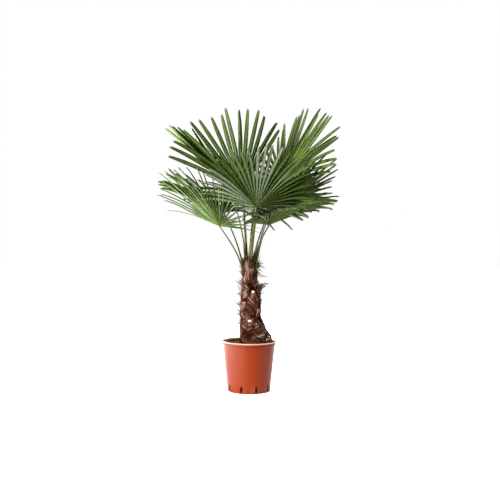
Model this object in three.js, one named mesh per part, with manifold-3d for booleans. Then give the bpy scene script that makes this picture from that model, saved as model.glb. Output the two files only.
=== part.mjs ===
import * as THREE from 'three';
import { mergeVertices } from 'three/addons/utils/BufferGeometryUtils.js';
import Module from 'manifold-3d';

// Potted windmill palm: a young palm with a short fibrous trunk and ten fan-shaped fronds,
// standing in a round plastic nursery pot filled with soil.
// Millimetres, +Z up, the front of the plant towards -Y.
// The origin is the centre of the pot's flat underside.

// Solid operations: union, subtraction and intersection
const wasm = await Module();
wasm.setup();

const UP = new THREE.Vector3(0, 0, 1);
// Clearance between pieces that touch on the real plant
const SEAT_GAP = 0.3;

// Pot
const POT_HEIGHT = 239;
const POT_RIM_RADIUS = 130;
const POT_FOOT_RADIUS = 101;
const POT_BAND_RADIUS = 124;
const POT_WALL = 3;
const POT_FLOOR = 4;
const POT_LIP_HEIGHT = 8;
const POT_BAND_HEIGHT = 13;
const POT_SIDES = 48;
// Rounded foot edge, the band's step out from the wall and the lip's edge
const POT_FOOT_EDGE = 4;
const POT_BAND_STEP = 1.5;
const POT_LIP_EDGE = 3;
const SLOT_COUNT = 9;
const SLOT_HEIGHT = 33;
const SLOT_FOOT = 3;
const SLOT_WIDTH_TOP = 8;
const SLOT_WIDTH_FOOT = 10;

// Soil
const SOIL_TOP = 224;
const SOIL_DIP = 3;
const SOIL_FLAT_RADIUS = 110;
const SOIL_SIDES = 36;

// Trunk
const TRUNK_FOOT = SOIL_TOP + SEAT_GAP;
const TRUNK_TOP = 609;
const TRUNK_SIDES = 24;
const TRUNK_RINGS = 20;
const TRUNK_RADIUS_FOOT = 48;
const TRUNK_LUMP = 1.6;
// Height, radius and how far the centre lies to the right; it narrows at the neck, where fresh sheaths begin
const TRUNK_STATIONS = [
  [TRUNK_FOOT, TRUNK_RADIUS_FOOT, 8], [398, 44, 5.5], [472, 40.5, 5], [532, 32, -0.5], [TRUNK_TOP, 30, -0.5],
];
// Root flare at the foot, heavier to the right where the roots have built up a mound
const FLARE_HEIGHT = 34;
const FLARE_OUT = 7;
const MOUND_HEIGHT = 120;
const MOUND_OUT = 66;
const MOUND_LIMIT = 44;
const MOUND_AZIMUTH = -12;
const MOUND_HALF_ANGLE = 58;

// Cut leaf bases, in a spiral up the trunk
const LEAF_BASE_COUNT = 14;
const LEAF_BASE_TURN = 137.5;
const LEAF_BASE_START = 126.5;
const LEAF_BASE_FIRST_Z = 286;
const LEAF_BASE_LAST_Z = 507;
const LEAF_BASE_LENGTH = 34;
const LEAF_BASE_WIDTH = 21;
const LEAF_BASE_THICK = 9;
const LEAF_BASE_OUT = 7;

// Petioles
const PETIOLE_WIDTH_FOOT = 13;
const PETIOLE_WIDTH_HEAD = 7.5;
const PETIOLE_FLATNESS = 0.72;
const PETIOLE_STEPS = 8;
const PETIOLE_SIDES = 6;
const LOW_PETIOLE_Z = 555;
const LOW_PETIOLE_RADIUS = 32;
const HIGH_PETIOLE_Z = 605;
const HIGH_PETIOLE_RADIUS = 18;

// Blades
const BLADE_THICK = 4.4;
const SEGMENT_PITCH = 7;
const SPLIT_SHARE = 0.5;
const SIDE_TAPER = 0.2;
const SIDE_TAPER_SPREAD = 120;
const PLEAT = 0.45;
const SPRAY_IN_PLANE = 3.5;
const SPRAY_LIFT = 5;
const LENGTH_SPREAD = 0.1;
// Half-width of a free segment against its width where it parts, at each share of its free length
const FREE_STATIONS = [[0.4, 0.92], [0.78, 0.62]];
const HASTULA_RADIUS = 6.5;
const HASTULA_HEIGHT = 9;
// A segment that would run into an earlier piece is cut back to one of these shares of its length
const REACHES = [1, 0.9, 0.8, 0.7, 0.6, 0.5, 0.42, 0.34, 0.26];
const CLEARANCE = 0.6;

// Each frond: where its hub is (azimuth seen from above, reach from the trunk's axis, height), how its
// blade leans from upright and towards which azimuth, how it rolls, its radius, the angles between which
// its segments spread, how much longer they grow to one side, how it cups and folds, how far it arches and
// its tips droop, its seed, whether its petiole stands low or high on the trunk's head, and at which azimuth.
const FRONDS = [
  { name: 'front_left', azimuth: 218, reach: 177, height: 778, lean: 44, leanTo: 190, roll: 20, radius: 368,
    from: -119, to: 56, cup: 0, fold: 0, arch: 14, droop: 12, seed: 15, foot: 'low', footAzimuth: 205 },
  { name: 'front', azimuth: -79, reach: 153, height: 867, lean: 25, leanTo: -80, roll: -2, radius: 300,
    from: -112, to: 91, cup: 4, fold: 8, arch: 22, droop: 10, seed: 11, foot: 'high', footAzimuth: -80 },
  { name: 'centre', azimuth: -145, reach: 44, height: 953, lean: 2, leanTo: -90, roll: 4, radius: 371,
    from: -35, to: 70, skew: 0.2, cup: 6, fold: 4, arch: 12, droop: 0, seed: 12,
    foot: 'high', footAzimuth: -145 },
  { name: 'upper_right', azimuth: 25, reach: 167, height: 999, lean: 21, leanTo: 42, roll: -10, radius: 380,
    from: -91, to: 91, cup: -4, fold: -5, arch: 6, droop: 0, seed: 13, foot: 'high', footAzimuth: 35 },
  { name: 'lower_right', azimuth: -30, reach: 101, height: 786, lean: 69, leanTo: 6, roll: -8, radius: 350,
    from: -91, to: 126, cup: 4, fold: 4, arch: 12, droop: 35, seed: 14, foot: 'low', footAzimuth: -28 },
  { name: 'upper_left', azimuth: 163, reach: 108, height: 962, lean: 42, leanTo: 158, roll: 0, radius: 405,
    from: -28, to: 84, cup: 0, fold: 0, arch: 12, droop: 0, seed: 16, foot: 'high', footAzimuth: 150 },
  { name: 'back', azimuth: 82, reach: 150, height: 887, lean: 50, leanTo: 80, roll: 0, radius: 375,
    from: -91, to: 91, cup: -4, fold: 5, arch: 22, droop: 0, seed: 17, foot: 'high', footAzimuth: 92 },
  { name: 'back_left', azimuth: 150, reach: 150, height: 842, lean: 50, leanTo: 150, roll: 0, radius: 345,
    from: -91, to: 91, cup: -4, fold: 5, arch: 22, droop: 15, seed: 18, foot: 'low', footAzimuth: 145 },
  { name: 'right', azimuth: -8, reach: 150, height: 883, lean: 42, leanTo: -32, roll: -4, radius: 322,
    from: -70, to: 49, cup: -4, fold: 5, arch: 12, droop: 0, seed: 21, foot: 'high', footAzimuth: -22 },
  { name: 'back_right', azimuth: 48, reach: 140, height: 827, lean: 62, leanTo: 38, roll: 0, radius: 360,
    from: -91, to: 42, cup: -4, fold: 5, arch: 18, droop: 20, seed: 19, foot: 'low', footAzimuth: 48 },
];

const material = (color, roughness) => new THREE.MeshStandardMaterial({ color, roughness, metalness: 0 });
const TERRACOTTA = material(0xb4502c, 0.42);
const SOIL = material(0x4a3a2a, 0.95);
const FIBRE = material(0x5d4433, 0.95);
const CUT_BASE = material(0xa98f63, 0.85);
const STALK = material(0x8a9a4e, 0.6);
const LEAF = material(0x5f7a3a, 0.55);

const radians = (degrees) => THREE.MathUtils.degToRad(degrees);

function random(seed) {
  let state = seed >>> 0;
  return () => {
    state = (Math.imul(state, 1664525) + 1013904223) >>> 0;
    return state / 4294967296;
  };
}

// Solids and meshes

function toSolid(geometry) {
  const bare = geometry.clone();
  bare.deleteAttribute('normal');
  bare.deleteAttribute('uv');
  const merged = mergeVertices(bare, 1e-4);
  return new wasm.Manifold(new wasm.Mesh({
    numProp: 3,
    vertProperties: new Float32Array(merged.attributes.position.array),
    triVerts: new Uint32Array(merged.index.array),
  }));
}

function toGeometry(solid) {
  const mesh = solid.getMesh();
  const geometry = new THREE.BufferGeometry();
  geometry.setAttribute('position', new THREE.BufferAttribute(mesh.vertProperties, 3));
  geometry.setIndex(new THREE.BufferAttribute(mesh.triVerts, 1));
  return geometry;
}

function geometryOf(points, triangles) {
  const geometry = new THREE.BufferGeometry();
  geometry.setAttribute('position', new THREE.Float32BufferAttribute(points.flatMap((p) => p.toArray()), 3));
  geometry.setIndex(triangles);
  return geometry;
}

// A closed skin over rings of points, each ring anticlockwise seen from the far end
function loft(rings) {
  const sides = rings[0].length;
  const points = rings.flat();
  const triangles = [];
  for (let r = 0; r + 1 < rings.length; r++) {
    for (let k = 0; k < sides; k++) {
      const a = r * sides + k;
      const b = r * sides + (k + 1) % sides;
      triangles.push(a, b, b + sides, a, b + sides, a + sides);
    }
  }
  const last = (rings.length - 1) * sides;
  for (let k = 1; k + 1 < sides; k++) {
    triangles.push(0, k + 1, k);
    triangles.push(last, last + k, last + k + 1);
  }
  return geometryOf(points, triangles);
}

function polar(radius, azimuth, height) {
  return new THREE.Vector3(radius * Math.cos(azimuth), radius * Math.sin(azimuth), height);
}

// Pot and soil

function potWallRadius(z) {
  const share = z / (POT_HEIGHT - POT_LIP_HEIGHT);
  return THREE.MathUtils.lerp(POT_FOOT_RADIUS, POT_BAND_RADIUS, share);
}

function lathe(profile, sides) {
  const geometry = new THREE.LatheGeometry(profile.map(([x, z]) => new THREE.Vector2(x, z)), sides);
  return geometry.rotateX(Math.PI / 2);
}

function slotGeometry(azimuth) {
  const top = SLOT_FOOT + SLOT_HEIGHT;
  const shape = new THREE.Shape();
  shape.moveTo(-SLOT_WIDTH_FOOT / 2, SLOT_FOOT);
  shape.lineTo(SLOT_WIDTH_FOOT / 2, SLOT_FOOT);
  shape.lineTo(SLOT_WIDTH_TOP / 2, top - SLOT_WIDTH_TOP / 2);
  shape.absarc(0, top - SLOT_WIDTH_TOP / 2, SLOT_WIDTH_TOP / 2, 0, Math.PI, false);
  const depth = 40;
  const geometry = new THREE.ExtrudeGeometry(shape, { depth, bevelEnabled: false, curveSegments: 4 });
  return geometry.rotateX(Math.PI / 2).rotateZ(Math.PI / 2)
    .translate(POT_FOOT_RADIUS - depth / 2 + 5, 0, 0).rotateZ(azimuth);
}

function potGeometry() {
  const bandFoot = POT_HEIGHT - POT_LIP_HEIGHT - POT_BAND_HEIGHT;
  const lipFoot = POT_HEIGHT - POT_LIP_HEIGHT;
  const profile = [
    [0, 0],
    [POT_FOOT_RADIUS - POT_FOOT_EDGE, 0],
    [POT_FOOT_RADIUS - POT_FOOT_EDGE * 0.25, POT_FOOT_EDGE * 0.3],
    [potWallRadius(POT_FOOT_EDGE), POT_FOOT_EDGE],
    [potWallRadius(bandFoot), bandFoot],
    [POT_BAND_RADIUS + POT_BAND_STEP, bandFoot + POT_BAND_STEP],
    [POT_BAND_RADIUS + POT_BAND_STEP + 1, lipFoot],
    [POT_RIM_RADIUS - 1, lipFoot],
    [POT_RIM_RADIUS, lipFoot + POT_LIP_EDGE],
    [POT_RIM_RADIUS - 1, POT_HEIGHT - 1],
    [POT_RIM_RADIUS - POT_LIP_EDGE, POT_HEIGHT],
    [POT_BAND_RADIUS - 1, POT_HEIGHT],
    [potWallRadius(bandFoot) - POT_WALL, bandFoot - 2],
    [potWallRadius(POT_FLOOR) - POT_WALL, POT_FLOOR],
    [0, POT_FLOOR],
  ];
  let pot = toSolid(lathe(profile, POT_SIDES));
  for (let i = 0; i < SLOT_COUNT; i++) {
    const fromFront = (i + 0.5) * 360 / SLOT_COUNT;
    pot = pot.subtract(toSolid(slotGeometry(radians(fromFront - 90))));
  }
  return toGeometry(pot);
}

function soilGeometry() {
  const bandFoot = POT_HEIGHT - POT_LIP_HEIGHT - POT_BAND_HEIGHT;
  const wall = (z) => potWallRadius(z) - POT_WALL - SEAT_GAP * 2;
  return lathe([
    [0, POT_FLOOR + SEAT_GAP],
    [wall(POT_FLOOR) - 0.4, POT_FLOOR + SEAT_GAP],
    [wall(bandFoot - 2), bandFoot - 2],
    [wall(bandFoot - 2), SOIL_TOP - SOIL_DIP],
    [SOIL_FLAT_RADIUS, SOIL_TOP],
    [0, SOIL_TOP],
  ], SOIL_SIDES);
}

// Trunk

function trunkStation(z) {
  let i = 0;
  while (i < TRUNK_STATIONS.length - 2 && z > TRUNK_STATIONS[i + 1][0]) i += 1;
  const [low, lowRadius, lowX] = TRUNK_STATIONS[i];
  const [high, highRadius, highX] = TRUNK_STATIONS[i + 1];
  const share = (z - low) / (high - low);
  return {
    radius: THREE.MathUtils.lerp(lowRadius, highRadius, share),
    centreX: THREE.MathUtils.lerp(lowX, highX, share),
  };
}

function trunkCentreX(z) {
  return trunkStation(z).centreX;
}

function trunkRadius(azimuth, z) {
  const body = trunkStation(z).radius;
  const above = z - TRUNK_FOOT;
  const flare = FLARE_OUT * Math.exp(-above / FLARE_HEIGHT);
  const away = Math.acos(Math.cos(azimuth - radians(MOUND_AZIMUTH)));
  const off = away / radians(MOUND_HALF_ANGLE);
  const side = off < 1 ? Math.cos(off * Math.PI / 2) ** 2 : 0;
  const mound = Math.min(MOUND_LIMIT, MOUND_OUT * Math.max(0, 1 - above / MOUND_HEIGHT));
  const lumps = Math.sin(5 * azimuth + z / 17) + Math.sin(3 * azimuth - z / 11);
  return body + flare + mound * side + TRUNK_LUMP * lumps;
}

function trunkGeometry(extra) {
  const rings = [];
  const foot = TRUNK_FOOT - extra;
  const head = TRUNK_TOP - 8;
  for (let r = 0; r <= TRUNK_RINGS; r++) {
    // rings stand closer together near the foot, where the mound swells
    const share = (r / TRUNK_RINGS) ** 1.35;
    const z = THREE.MathUtils.lerp(foot, head, share);
    rings.push(trunkRing(z, 1, extra));
  }
  rings.push(trunkRing(TRUNK_TOP - 2 + extra, 0.78, extra));
  rings.push(trunkRing(TRUNK_TOP + extra, 0.5, extra));
  return loft(rings);
}

function trunkRing(z, scale, extra) {
  const ring = [];
  for (let k = 0; k < TRUNK_SIDES; k++) {
    const azimuth = k / TRUNK_SIDES * 2 * Math.PI;
    const radius = trunkRadius(azimuth, z) * scale + extra;
    ring.push(polar(radius, azimuth, z).add(new THREE.Vector3(trunkCentreX(z), 0, 0)));
  }
  return ring;
}

// A cut leaf base: a broad flat stub that hugs the trunk, leans out and ends in a square cut
function leafBaseGeometry(azimuth, z) {
  const out = polar(1, azimuth, 0);
  const side = new THREE.Vector3(-out.y, out.x, 0);
  const steps = [[0, 1.15, 0], [0.5, 1, 0.35], [1, 0.8, 1]];
  const rings = steps.map(([share, width, lean]) => {
    const height = z + share * LEAF_BASE_LENGTH;
    const radius = trunkRadius(azimuth, height) + LEAF_BASE_OUT * lean;
    const middle = out.clone().multiplyScalar(radius);
    middle.x += trunkCentreX(height);
    middle.z = height;
    const half = LEAF_BASE_WIDTH * width / 2;
    const thick = LEAF_BASE_THICK / 2 * (0.5 + 0.5 * share);
    const inner = half * 0.5;
    const outer = half * 0.6;
    return [[half, 0], [inner, -thick], [-inner, -thick], [-half, 0], [-outer, thick], [outer, thick]]
      .map(([a, b]) => middle.clone().addScaledVector(side, a).addScaledVector(out, b));
  });
  return loft(rings);
}

// Fronds

// A frond's hub, and the axes of its blade: along its middle, out of its upper face, and to the side
function frondAxes(frond) {
  const towards = polar(1, radians(frond.leanTo), 0);
  const lean = radians(frond.lean);
  const roll = radians(frond.roll);
  const along = towards.clone().multiplyScalar(Math.sin(lean)).addScaledVector(UP, Math.cos(lean));
  const level = towards.clone().multiplyScalar(-Math.cos(lean)).addScaledVector(UP, Math.sin(lean));
  const across = new THREE.Vector3().crossVectors(along, level);
  const normal = level.clone().multiplyScalar(Math.cos(roll)).addScaledVector(across, Math.sin(roll));
  const side = level.clone().multiplyScalar(-Math.sin(roll)).addScaledVector(across, Math.cos(roll));
  const hub = polar(frond.reach, radians(frond.azimuth), frond.height);
  return { hub, along, normal, side };
}

// Unit directions of the blade at an angle from its middle: outwards, sideways, and out of its upper face
function bladeDirections(frond, axes, angle) {
  const turn = radians(angle);
  const cup = radians(frond.cup + frond.fold * (angle / SIDE_TAPER_SPREAD) ** 2);
  const mix = (a, b, share) => a.clone().multiplyScalar(Math.cos(share)).addScaledVector(b, Math.sin(share));
  const flat = mix(axes.along, axes.side, turn);
  const sideways = mix(axes.side, axes.along, -turn);
  const outwards = mix(flat, axes.normal, cup);
  const face = mix(axes.normal, flat, -cup);
  return { outwards, sideways, face };
}

// How far a blade bows upwards: most halfway out, and most on the segments that reach sideways
function bowOf(frond, angle, distance) {
  const share = distance / frond.radius;
  return frond.arch * Math.sin(radians(angle)) ** 2 * 4 * share * (1 - share);
}

// The segments of a frond: angle, turn and lift of the free part, and length
function frondSegments(frond) {
  const count = Math.round((frond.to - frond.from) / SEGMENT_PITCH);
  const next = random(frond.seed);
  const segments = [];
  for (let i = 0; i < count; i++) {
    const angle = frond.from + (i + 0.5) * SEGMENT_PITCH;
    const turn = (next() - 0.5) * 2 * SPRAY_IN_PLANE;
    const lift = (next() - 0.5) * 2 * SPRAY_LIFT;
    const share = angle / SIDE_TAPER_SPREAD;
    const taper = 1 - SIDE_TAPER * share ** 2 + (frond.skew ?? 0) * share;
    const length = frond.radius * taper * (1 + (next() - 0.5) * LENGTH_SPREAD);
    segments.push({ angle, turn, lift, length, reach: 1 });
  }
  return segments;
}

// The middle of a segment at a distance from the hub, with its own directions there
function segmentStation(frond, axes, segment, split, distance) {
  const inner = bladeDirections(frond, axes, segment.angle);
  const outer = bladeDirections(frond, axes, segment.angle + segment.turn);
  const free = Math.max(0, distance - split);
  const share = free / (frond.radius * (1 - SPLIT_SHARE));
  const point = axes.hub.clone()
    .addScaledVector(inner.outwards, Math.min(distance, split))
    .addScaledVector(outer.outwards, free)
    .addScaledVector(axes.normal, free * Math.sin(radians(segment.lift)))
    .addScaledVector(UP, bowOf(frond, segment.angle, distance) - frond.droop * share * share);
  return { point, sideways: outer.sideways, face: outer.face };
}

function splitOf(frond, segment) {
  return Math.min(SPLIT_SHARE * frond.radius, 0.6 * segment.length * segment.reach);
}

// One blade, or a part of it, as a closed pleated skin: seams stand up between the ribs, and each
// segment is free beyond the split and narrows to its tip
function bladeGeometry(frond, axes, segments, extra) {
  const points = [];
  const triangles = [];
  const add = (point) => points.push(point) - 1;
  const quad = (a, b, c, d) => triangles.push(a, b, c, a, c, d);
  const thick = BLADE_THICK / 2 + extra;
  const pair = (point, face) => [
    add(point.clone().addScaledVector(face, thick)),
    add(point.clone().addScaledVector(face, -thick)),
  ];
  const widthAt = (distance) => distance * Math.tan(radians(SEGMENT_PITCH / 2));
  const seam = (angle, distance, outset) => {
    const { outwards, sideways, face } = bladeDirections(frond, axes, angle);
    const point = axes.hub.clone().addScaledVector(outwards, distance)
      .addScaledVector(face, PLEAT * widthAt(distance) / 2).addScaledVector(sideways, outset)
      .addScaledVector(UP, bowOf(frond, angle, distance));
    return pair(point, face);
  };
  const [hubTop, hubFoot] = pair(axes.hub, axes.normal);
  let left = null;
  segments.forEach((segment, i) => {
    const next = segments[i + 1];
    const split = splitOf(frond, segment);
    const first = i === 0;
    if (first) left = seam(segment.angle - SEGMENT_PITCH / 2, split, -extra);
    const shared = next ? Math.min(split, splitOf(frond, next)) : split;
    const right = seam(segment.angle + SEGMENT_PITCH / 2, shared, next ? 0 : extra);
    const middle = segmentStation(frond, axes, { ...segment, turn: 0 }, split, split);
    const rib = pair(middle.point.addScaledVector(middle.face, -PLEAT * widthAt(split) / 2), middle.face);
    triangles.push(hubTop, rib[0], left[0], hubTop, right[0], rib[0]);
    triangles.push(hubFoot, left[1], rib[1], hubFoot, rib[1], right[1]);
    if (first) quad(hubTop, left[0], left[1], hubFoot);
    if (!next) quad(hubTop, hubFoot, right[1], right[0]);
    // free part
    const length = segment.length * segment.reach;
    const sections = FREE_STATIONS.map(([share, width]) => {
      const distance = THREE.MathUtils.lerp(split, length, share);
      const { point, sideways, face } = segmentStation(frond, axes, segment, split, distance);
      const half = widthAt(split) * width;
      const edge = point.clone().addScaledVector(face, PLEAT * half / 2);
      const middle = point.clone().addScaledVector(face, -PLEAT * half / 2);
      return {
        left: add(edge.clone().addScaledVector(sideways, -half - extra)),
        right: add(edge.clone().addScaledVector(sideways, half + extra)),
        middle: pair(middle, face),
      };
    });
    const tip = add(segmentStation(frond, axes, segment, split, length + extra).point);
    const start = sections[0];
    quad(left[0], rib[0], start.middle[0], start.left);
    quad(rib[0], right[0], start.right, start.middle[0]);
    quad(left[1], start.left, start.middle[1], rib[1]);
    quad(rib[1], start.middle[1], start.right, right[1]);
    triangles.push(left[0], start.left, left[1], right[0], right[1], start.right);
    sections.slice(1).forEach((far, k) => {
      const near = sections[k];
      quad(near.left, near.middle[0], far.middle[0], far.left);
      quad(near.middle[0], near.right, far.right, far.middle[0]);
      quad(near.left, far.left, far.middle[1], near.middle[1]);
      quad(near.middle[1], far.middle[1], far.right, near.right);
    });
    const end = sections.at(-1);
    triangles.push(end.left, end.middle[0], tip, end.middle[0], end.right, tip);
    triangles.push(end.left, tip, end.middle[1], end.middle[1], tip, end.right);
    left = right;
  });
  return geometryOf(points, triangles);
}

function hastulaGeometry(axes, radius, height) {
  const turn = new THREE.Quaternion().setFromUnitVectors(new THREE.Vector3(0, 1, 0), axes.normal);
  return new THREE.CylinderGeometry(radius, radius, height, 10).applyQuaternion(turn)
    .translate(axes.hub.x, axes.hub.y, axes.hub.z);
}

function petioleCurve(frond, axes) {
  const low = frond.foot === 'low';
  const foot = polar(low ? LOW_PETIOLE_RADIUS : HIGH_PETIOLE_RADIUS, radians(frond.footAzimuth),
    low ? LOW_PETIOLE_Z : HIGH_PETIOLE_Z);
  foot.x += trunkCentreX(foot.z);
  const chord = axes.hub.clone().sub(foot);
  const span = chord.length();
  chord.normalize();
  const lower = foot.clone().addScaledVector(chord, span * 0.2).addScaledVector(UP, span * 0.22);
  const arrive = chord.clone().multiplyScalar(0.65).addScaledVector(axes.along, 0.35).normalize();
  const upper = axes.hub.clone().addScaledVector(arrive, -span * 0.3);
  return new THREE.CubicBezierCurve3(foot, lower, upper, axes.hub.clone());
}

// A petiole is flat above and rounded below, and narrows from its foot to the blade
function petioleGeometry(frond, axes) {
  const curve = petioleCurve(frond, axes);
  const rings = [];
  for (let i = 0; i <= PETIOLE_STEPS; i++) {
    const share = i / PETIOLE_STEPS;
    const point = curve.getPoint(share);
    const along = curve.getTangent(share);
    const side = new THREE.Vector3().crossVectors(along, axes.normal).normalize();
    const face = new THREE.Vector3().crossVectors(side, along);
    const half = THREE.MathUtils.lerp(PETIOLE_WIDTH_FOOT, PETIOLE_WIDTH_HEAD, share) / 2;
    const ring = [];
    for (let k = 0; k < PETIOLE_SIDES; k++) {
      const turn = k / PETIOLE_SIDES * 2 * Math.PI;
      ring.push(point.clone().addScaledVector(side, half * Math.cos(turn))
        .addScaledVector(face, -half * PETIOLE_FLATNESS * Math.sin(turn)));
    }
    rings.push(ring);
  }
  return loft(rings);
}

const touches = (solid, others) => others.some((other) => !solid.intersect(other).isEmpty());

// Cuts each segment back until it is clear of the pieces that are already there
function fitSegments(frond, axes, obstacles) {
  const segments = frondSegments(frond);
  for (const segment of segments) {
    segment.reach = REACHES.find((reach) => {
      const trial = { ...segment, reach };
      return !touches(toSolid(bladeGeometry(frond, axes, [trial], CLEARANCE)), obstacles);
    }) ?? 0;
  }
  return segments;
}

// The segments from the middle of the frond outwards, up to the first that has no room on each side
function keepMiddle(segments) {
  const middle = Math.floor(segments.length / 2);
  let first = middle;
  while (first > 0 && segments[first - 1].reach > 0) first -= 1;
  let last = middle;
  while (last + 1 < segments.length && segments[last + 1].reach > 0) last += 1;
  return segments.slice(first, last + 1);
}

// Assembly

const palm = new THREE.Group();

function place(name, geometry, finish) {
  const mesh = new THREE.Mesh(geometry, finish.clone());
  mesh.name = name;
  palm.add(mesh);
}

place('pot', potGeometry(), TERRACOTTA);
place('soil', soilGeometry(), SOIL);
place('trunk', trunkGeometry(0), FIBRE);

const trunkClear = toSolid(trunkGeometry(SEAT_GAP));
const obstacles = [toSolid(trunkGeometry(0))];

for (let i = 0; i < LEAF_BASE_COUNT; i++) {
  const azimuth = radians(LEAF_BASE_START + i * LEAF_BASE_TURN);
  const z = THREE.MathUtils.lerp(LEAF_BASE_FIRST_Z, LEAF_BASE_LAST_Z, i / (LEAF_BASE_COUNT - 1));
  const base = toSolid(leafBaseGeometry(azimuth, z)).subtract(trunkClear);
  place(`leaf_base_${String(i + 1).padStart(2, '0')}`, toGeometry(base), CUT_BASE);
  obstacles.push(base);
}

const fronds = FRONDS.map((frond) => {
  const axes = frondAxes(frond);
  const seat = toSolid(hastulaGeometry(axes, HASTULA_RADIUS + SEAT_GAP, HASTULA_HEIGHT * 3));
  const petiole = toSolid(petioleGeometry(frond, axes)).subtract(trunkClear).subtract(seat);
  return { frond, axes, petiole };
});

for (const { frond, petiole } of fronds) {
  place(`petiole_${frond.name}`, toGeometry(petiole), STALK);
  obstacles.push(petiole);
}

for (const { frond, axes, petiole } of fronds) {
  const others = obstacles.filter((piece) => piece !== petiole);
  const segments = keepMiddle(fitSegments(frond, axes, others));
  const hastula = toSolid(hastulaGeometry(axes, HASTULA_RADIUS, HASTULA_HEIGHT));
  const blade = toSolid(bladeGeometry(frond, axes, segments, 0)).add(hastula);
  place(`blade_${frond.name}`, toGeometry(blade), LEAF);
  obstacles.push(blade);
}

export default palm;
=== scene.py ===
import math

import bmesh
import bpy
import numpy as np
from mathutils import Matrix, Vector


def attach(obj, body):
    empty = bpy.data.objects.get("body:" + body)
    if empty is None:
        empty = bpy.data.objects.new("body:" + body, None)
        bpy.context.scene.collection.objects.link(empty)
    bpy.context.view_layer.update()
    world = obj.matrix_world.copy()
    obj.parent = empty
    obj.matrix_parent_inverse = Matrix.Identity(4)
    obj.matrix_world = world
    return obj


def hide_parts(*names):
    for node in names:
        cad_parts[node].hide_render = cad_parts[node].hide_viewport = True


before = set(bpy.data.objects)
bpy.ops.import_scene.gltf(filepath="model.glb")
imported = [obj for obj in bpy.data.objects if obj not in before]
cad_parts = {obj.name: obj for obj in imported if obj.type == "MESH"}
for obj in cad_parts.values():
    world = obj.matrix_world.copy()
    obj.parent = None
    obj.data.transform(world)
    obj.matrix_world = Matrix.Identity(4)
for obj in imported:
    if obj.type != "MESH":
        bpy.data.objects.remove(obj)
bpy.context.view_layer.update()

# Potted windmill palm: plastic pot, soil, fibrous trunk, leaf stalks and pleated fans.
# Sizes are in millimetres, as in the solids, and become metres where a mesh is made. Patterns in the
# materials, lamps and the camera are in metres.

MM = 0.001
UP = np.array([0.0, 0.0, 1.0])

# Pot, as in the solids, but with slightly wider slots
POT_HEIGHT = 239
POT_RIM_RADIUS = 130
POT_FOOT_RADIUS = 101
POT_BAND_RADIUS = 124
POT_WALL = 2.6
POT_FLOOR = 4
POT_LIP_HEIGHT = 8
POT_BAND_HEIGHT = 13
POT_STEPS = 126
SLOT_COUNT = 9
SLOT_HEIGHT = 33
SLOT_FOOT = 3
SLOT_WIDTH = 11
SLOT_CUT_DEPTH = 60
SLOT_ROUNDING = 0.48

# Soil
SOIL_TOP = 224
SOIL_DIP = 3
CRUMB_COUNT = 1500
CRUMB_SIZES = (1.1, 3.6)
WALL_CRUMB_COUNT = 900
WALL_CRUMB_SIZES = (2.4, 4.8)
MOUND_CRUMB_COUNT = 900
MOUND_CRUMB_SIZES = (1.6, 6.2)

# Trunk
TRUNK_FOOT = 224.3
TRUNK_TOP = 609
TRUNK_LUMP = 1.6
# Height, radius and how far the centre lies to the right
TRUNK_STATIONS = np.array([
    (TRUNK_FOOT, 48, 8), (398, 44, 5.5), (472, 40.5, 5), (532, 32, -0.5), (TRUNK_TOP, 30, -0.5),
])
NECK_Z = 517
FLARE_HEIGHT = 34
FLARE_OUT = 7
MOUND_HEIGHT = 120
MOUND_OUT = 66
MOUND_LIMIT = 44
MOUND_AZIMUTH = -12
MOUND_HALF_ANGLE = 58
LEAF_BASE_COUNT = 14
LEAF_BASE_TURN = 137.5
LEAF_BASE_START = 126.5
LEAF_BASE_FIRST_Z = 286
LEAF_BASE_LAST_Z = 507
LEAF_BASE_LENGTH = 34
LEAF_BASE_WIDTH = 21
LEAF_BASE_THICK = 9
LEAF_BASE_OUT = 7
LEAF_BASE_SLANT = 4.5

# Petioles, of which the low fans' ones start lower and further out
PETIOLE_FLATNESS = 0.72
LOW_PETIOLE_Z = 555
LOW_PETIOLE_RADIUS = 32
HIGH_PETIOLE_Z = 605
HIGH_PETIOLE_RADIUS = 18

# Fans
SEGMENT_PITCH = 7
SPLIT_SHARE = 0.5
SIDE_TAPER = 0.2
SIDE_TAPER_SPREAD = 120
PLEAT = 1.25
SPRAY_IN_PLANE = 3.5
SPRAY_LIFT = 5
LENGTH_SPREAD = 0.1
REACHES = [1, 0.9, 0.8, 0.7, 0.6, 0.5, 0.42, 0.34, 0.26]
LEAF_THICK = 1.0

# One entry for each leaf, with angles in degrees:
# azimuth, reach and height place its hub, and lean, lean_to and roll turn the fan there.
# start and stop bound its segments, and skew makes one side longer.
# cup, fold, arch and droop curve it, and bent is how far some tips of a low fan hang.
# parting is the share of the radius from which the leaflets stand apart, and widening how they widen beyond.
# Before edge_on leaflets are seen on edge. Their backs are dark before dark_to, and beyond pale_from they
# follow pale_cycle, which numbers the finishes. tones are the odds of a middle, a light and a dark leaflet;
# the light and dark finishes are partly the leaflets' own tone and partly painted light and shade.
# foot is where the stalk leaves the trunk, stalk its widths at foot and head, and sheath how much old fibre
# clings to it and how far up.
# PLAIN holds what a leaf has unless its own entry says otherwise.
PLAIN = dict(roll=0, start=-91, stop=91, skew=0, cup=-4, fold=5, droop=0, low=False, bent=10,
             parting=0.36, widening=0.45, edge_on=-180, dark_to=-180, pale_from=180,
             tones=(0.35, 0.25, 0.4), stalk=(13, 7.5), pale_stalk=False, sheath=(40, 0.14))
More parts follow.
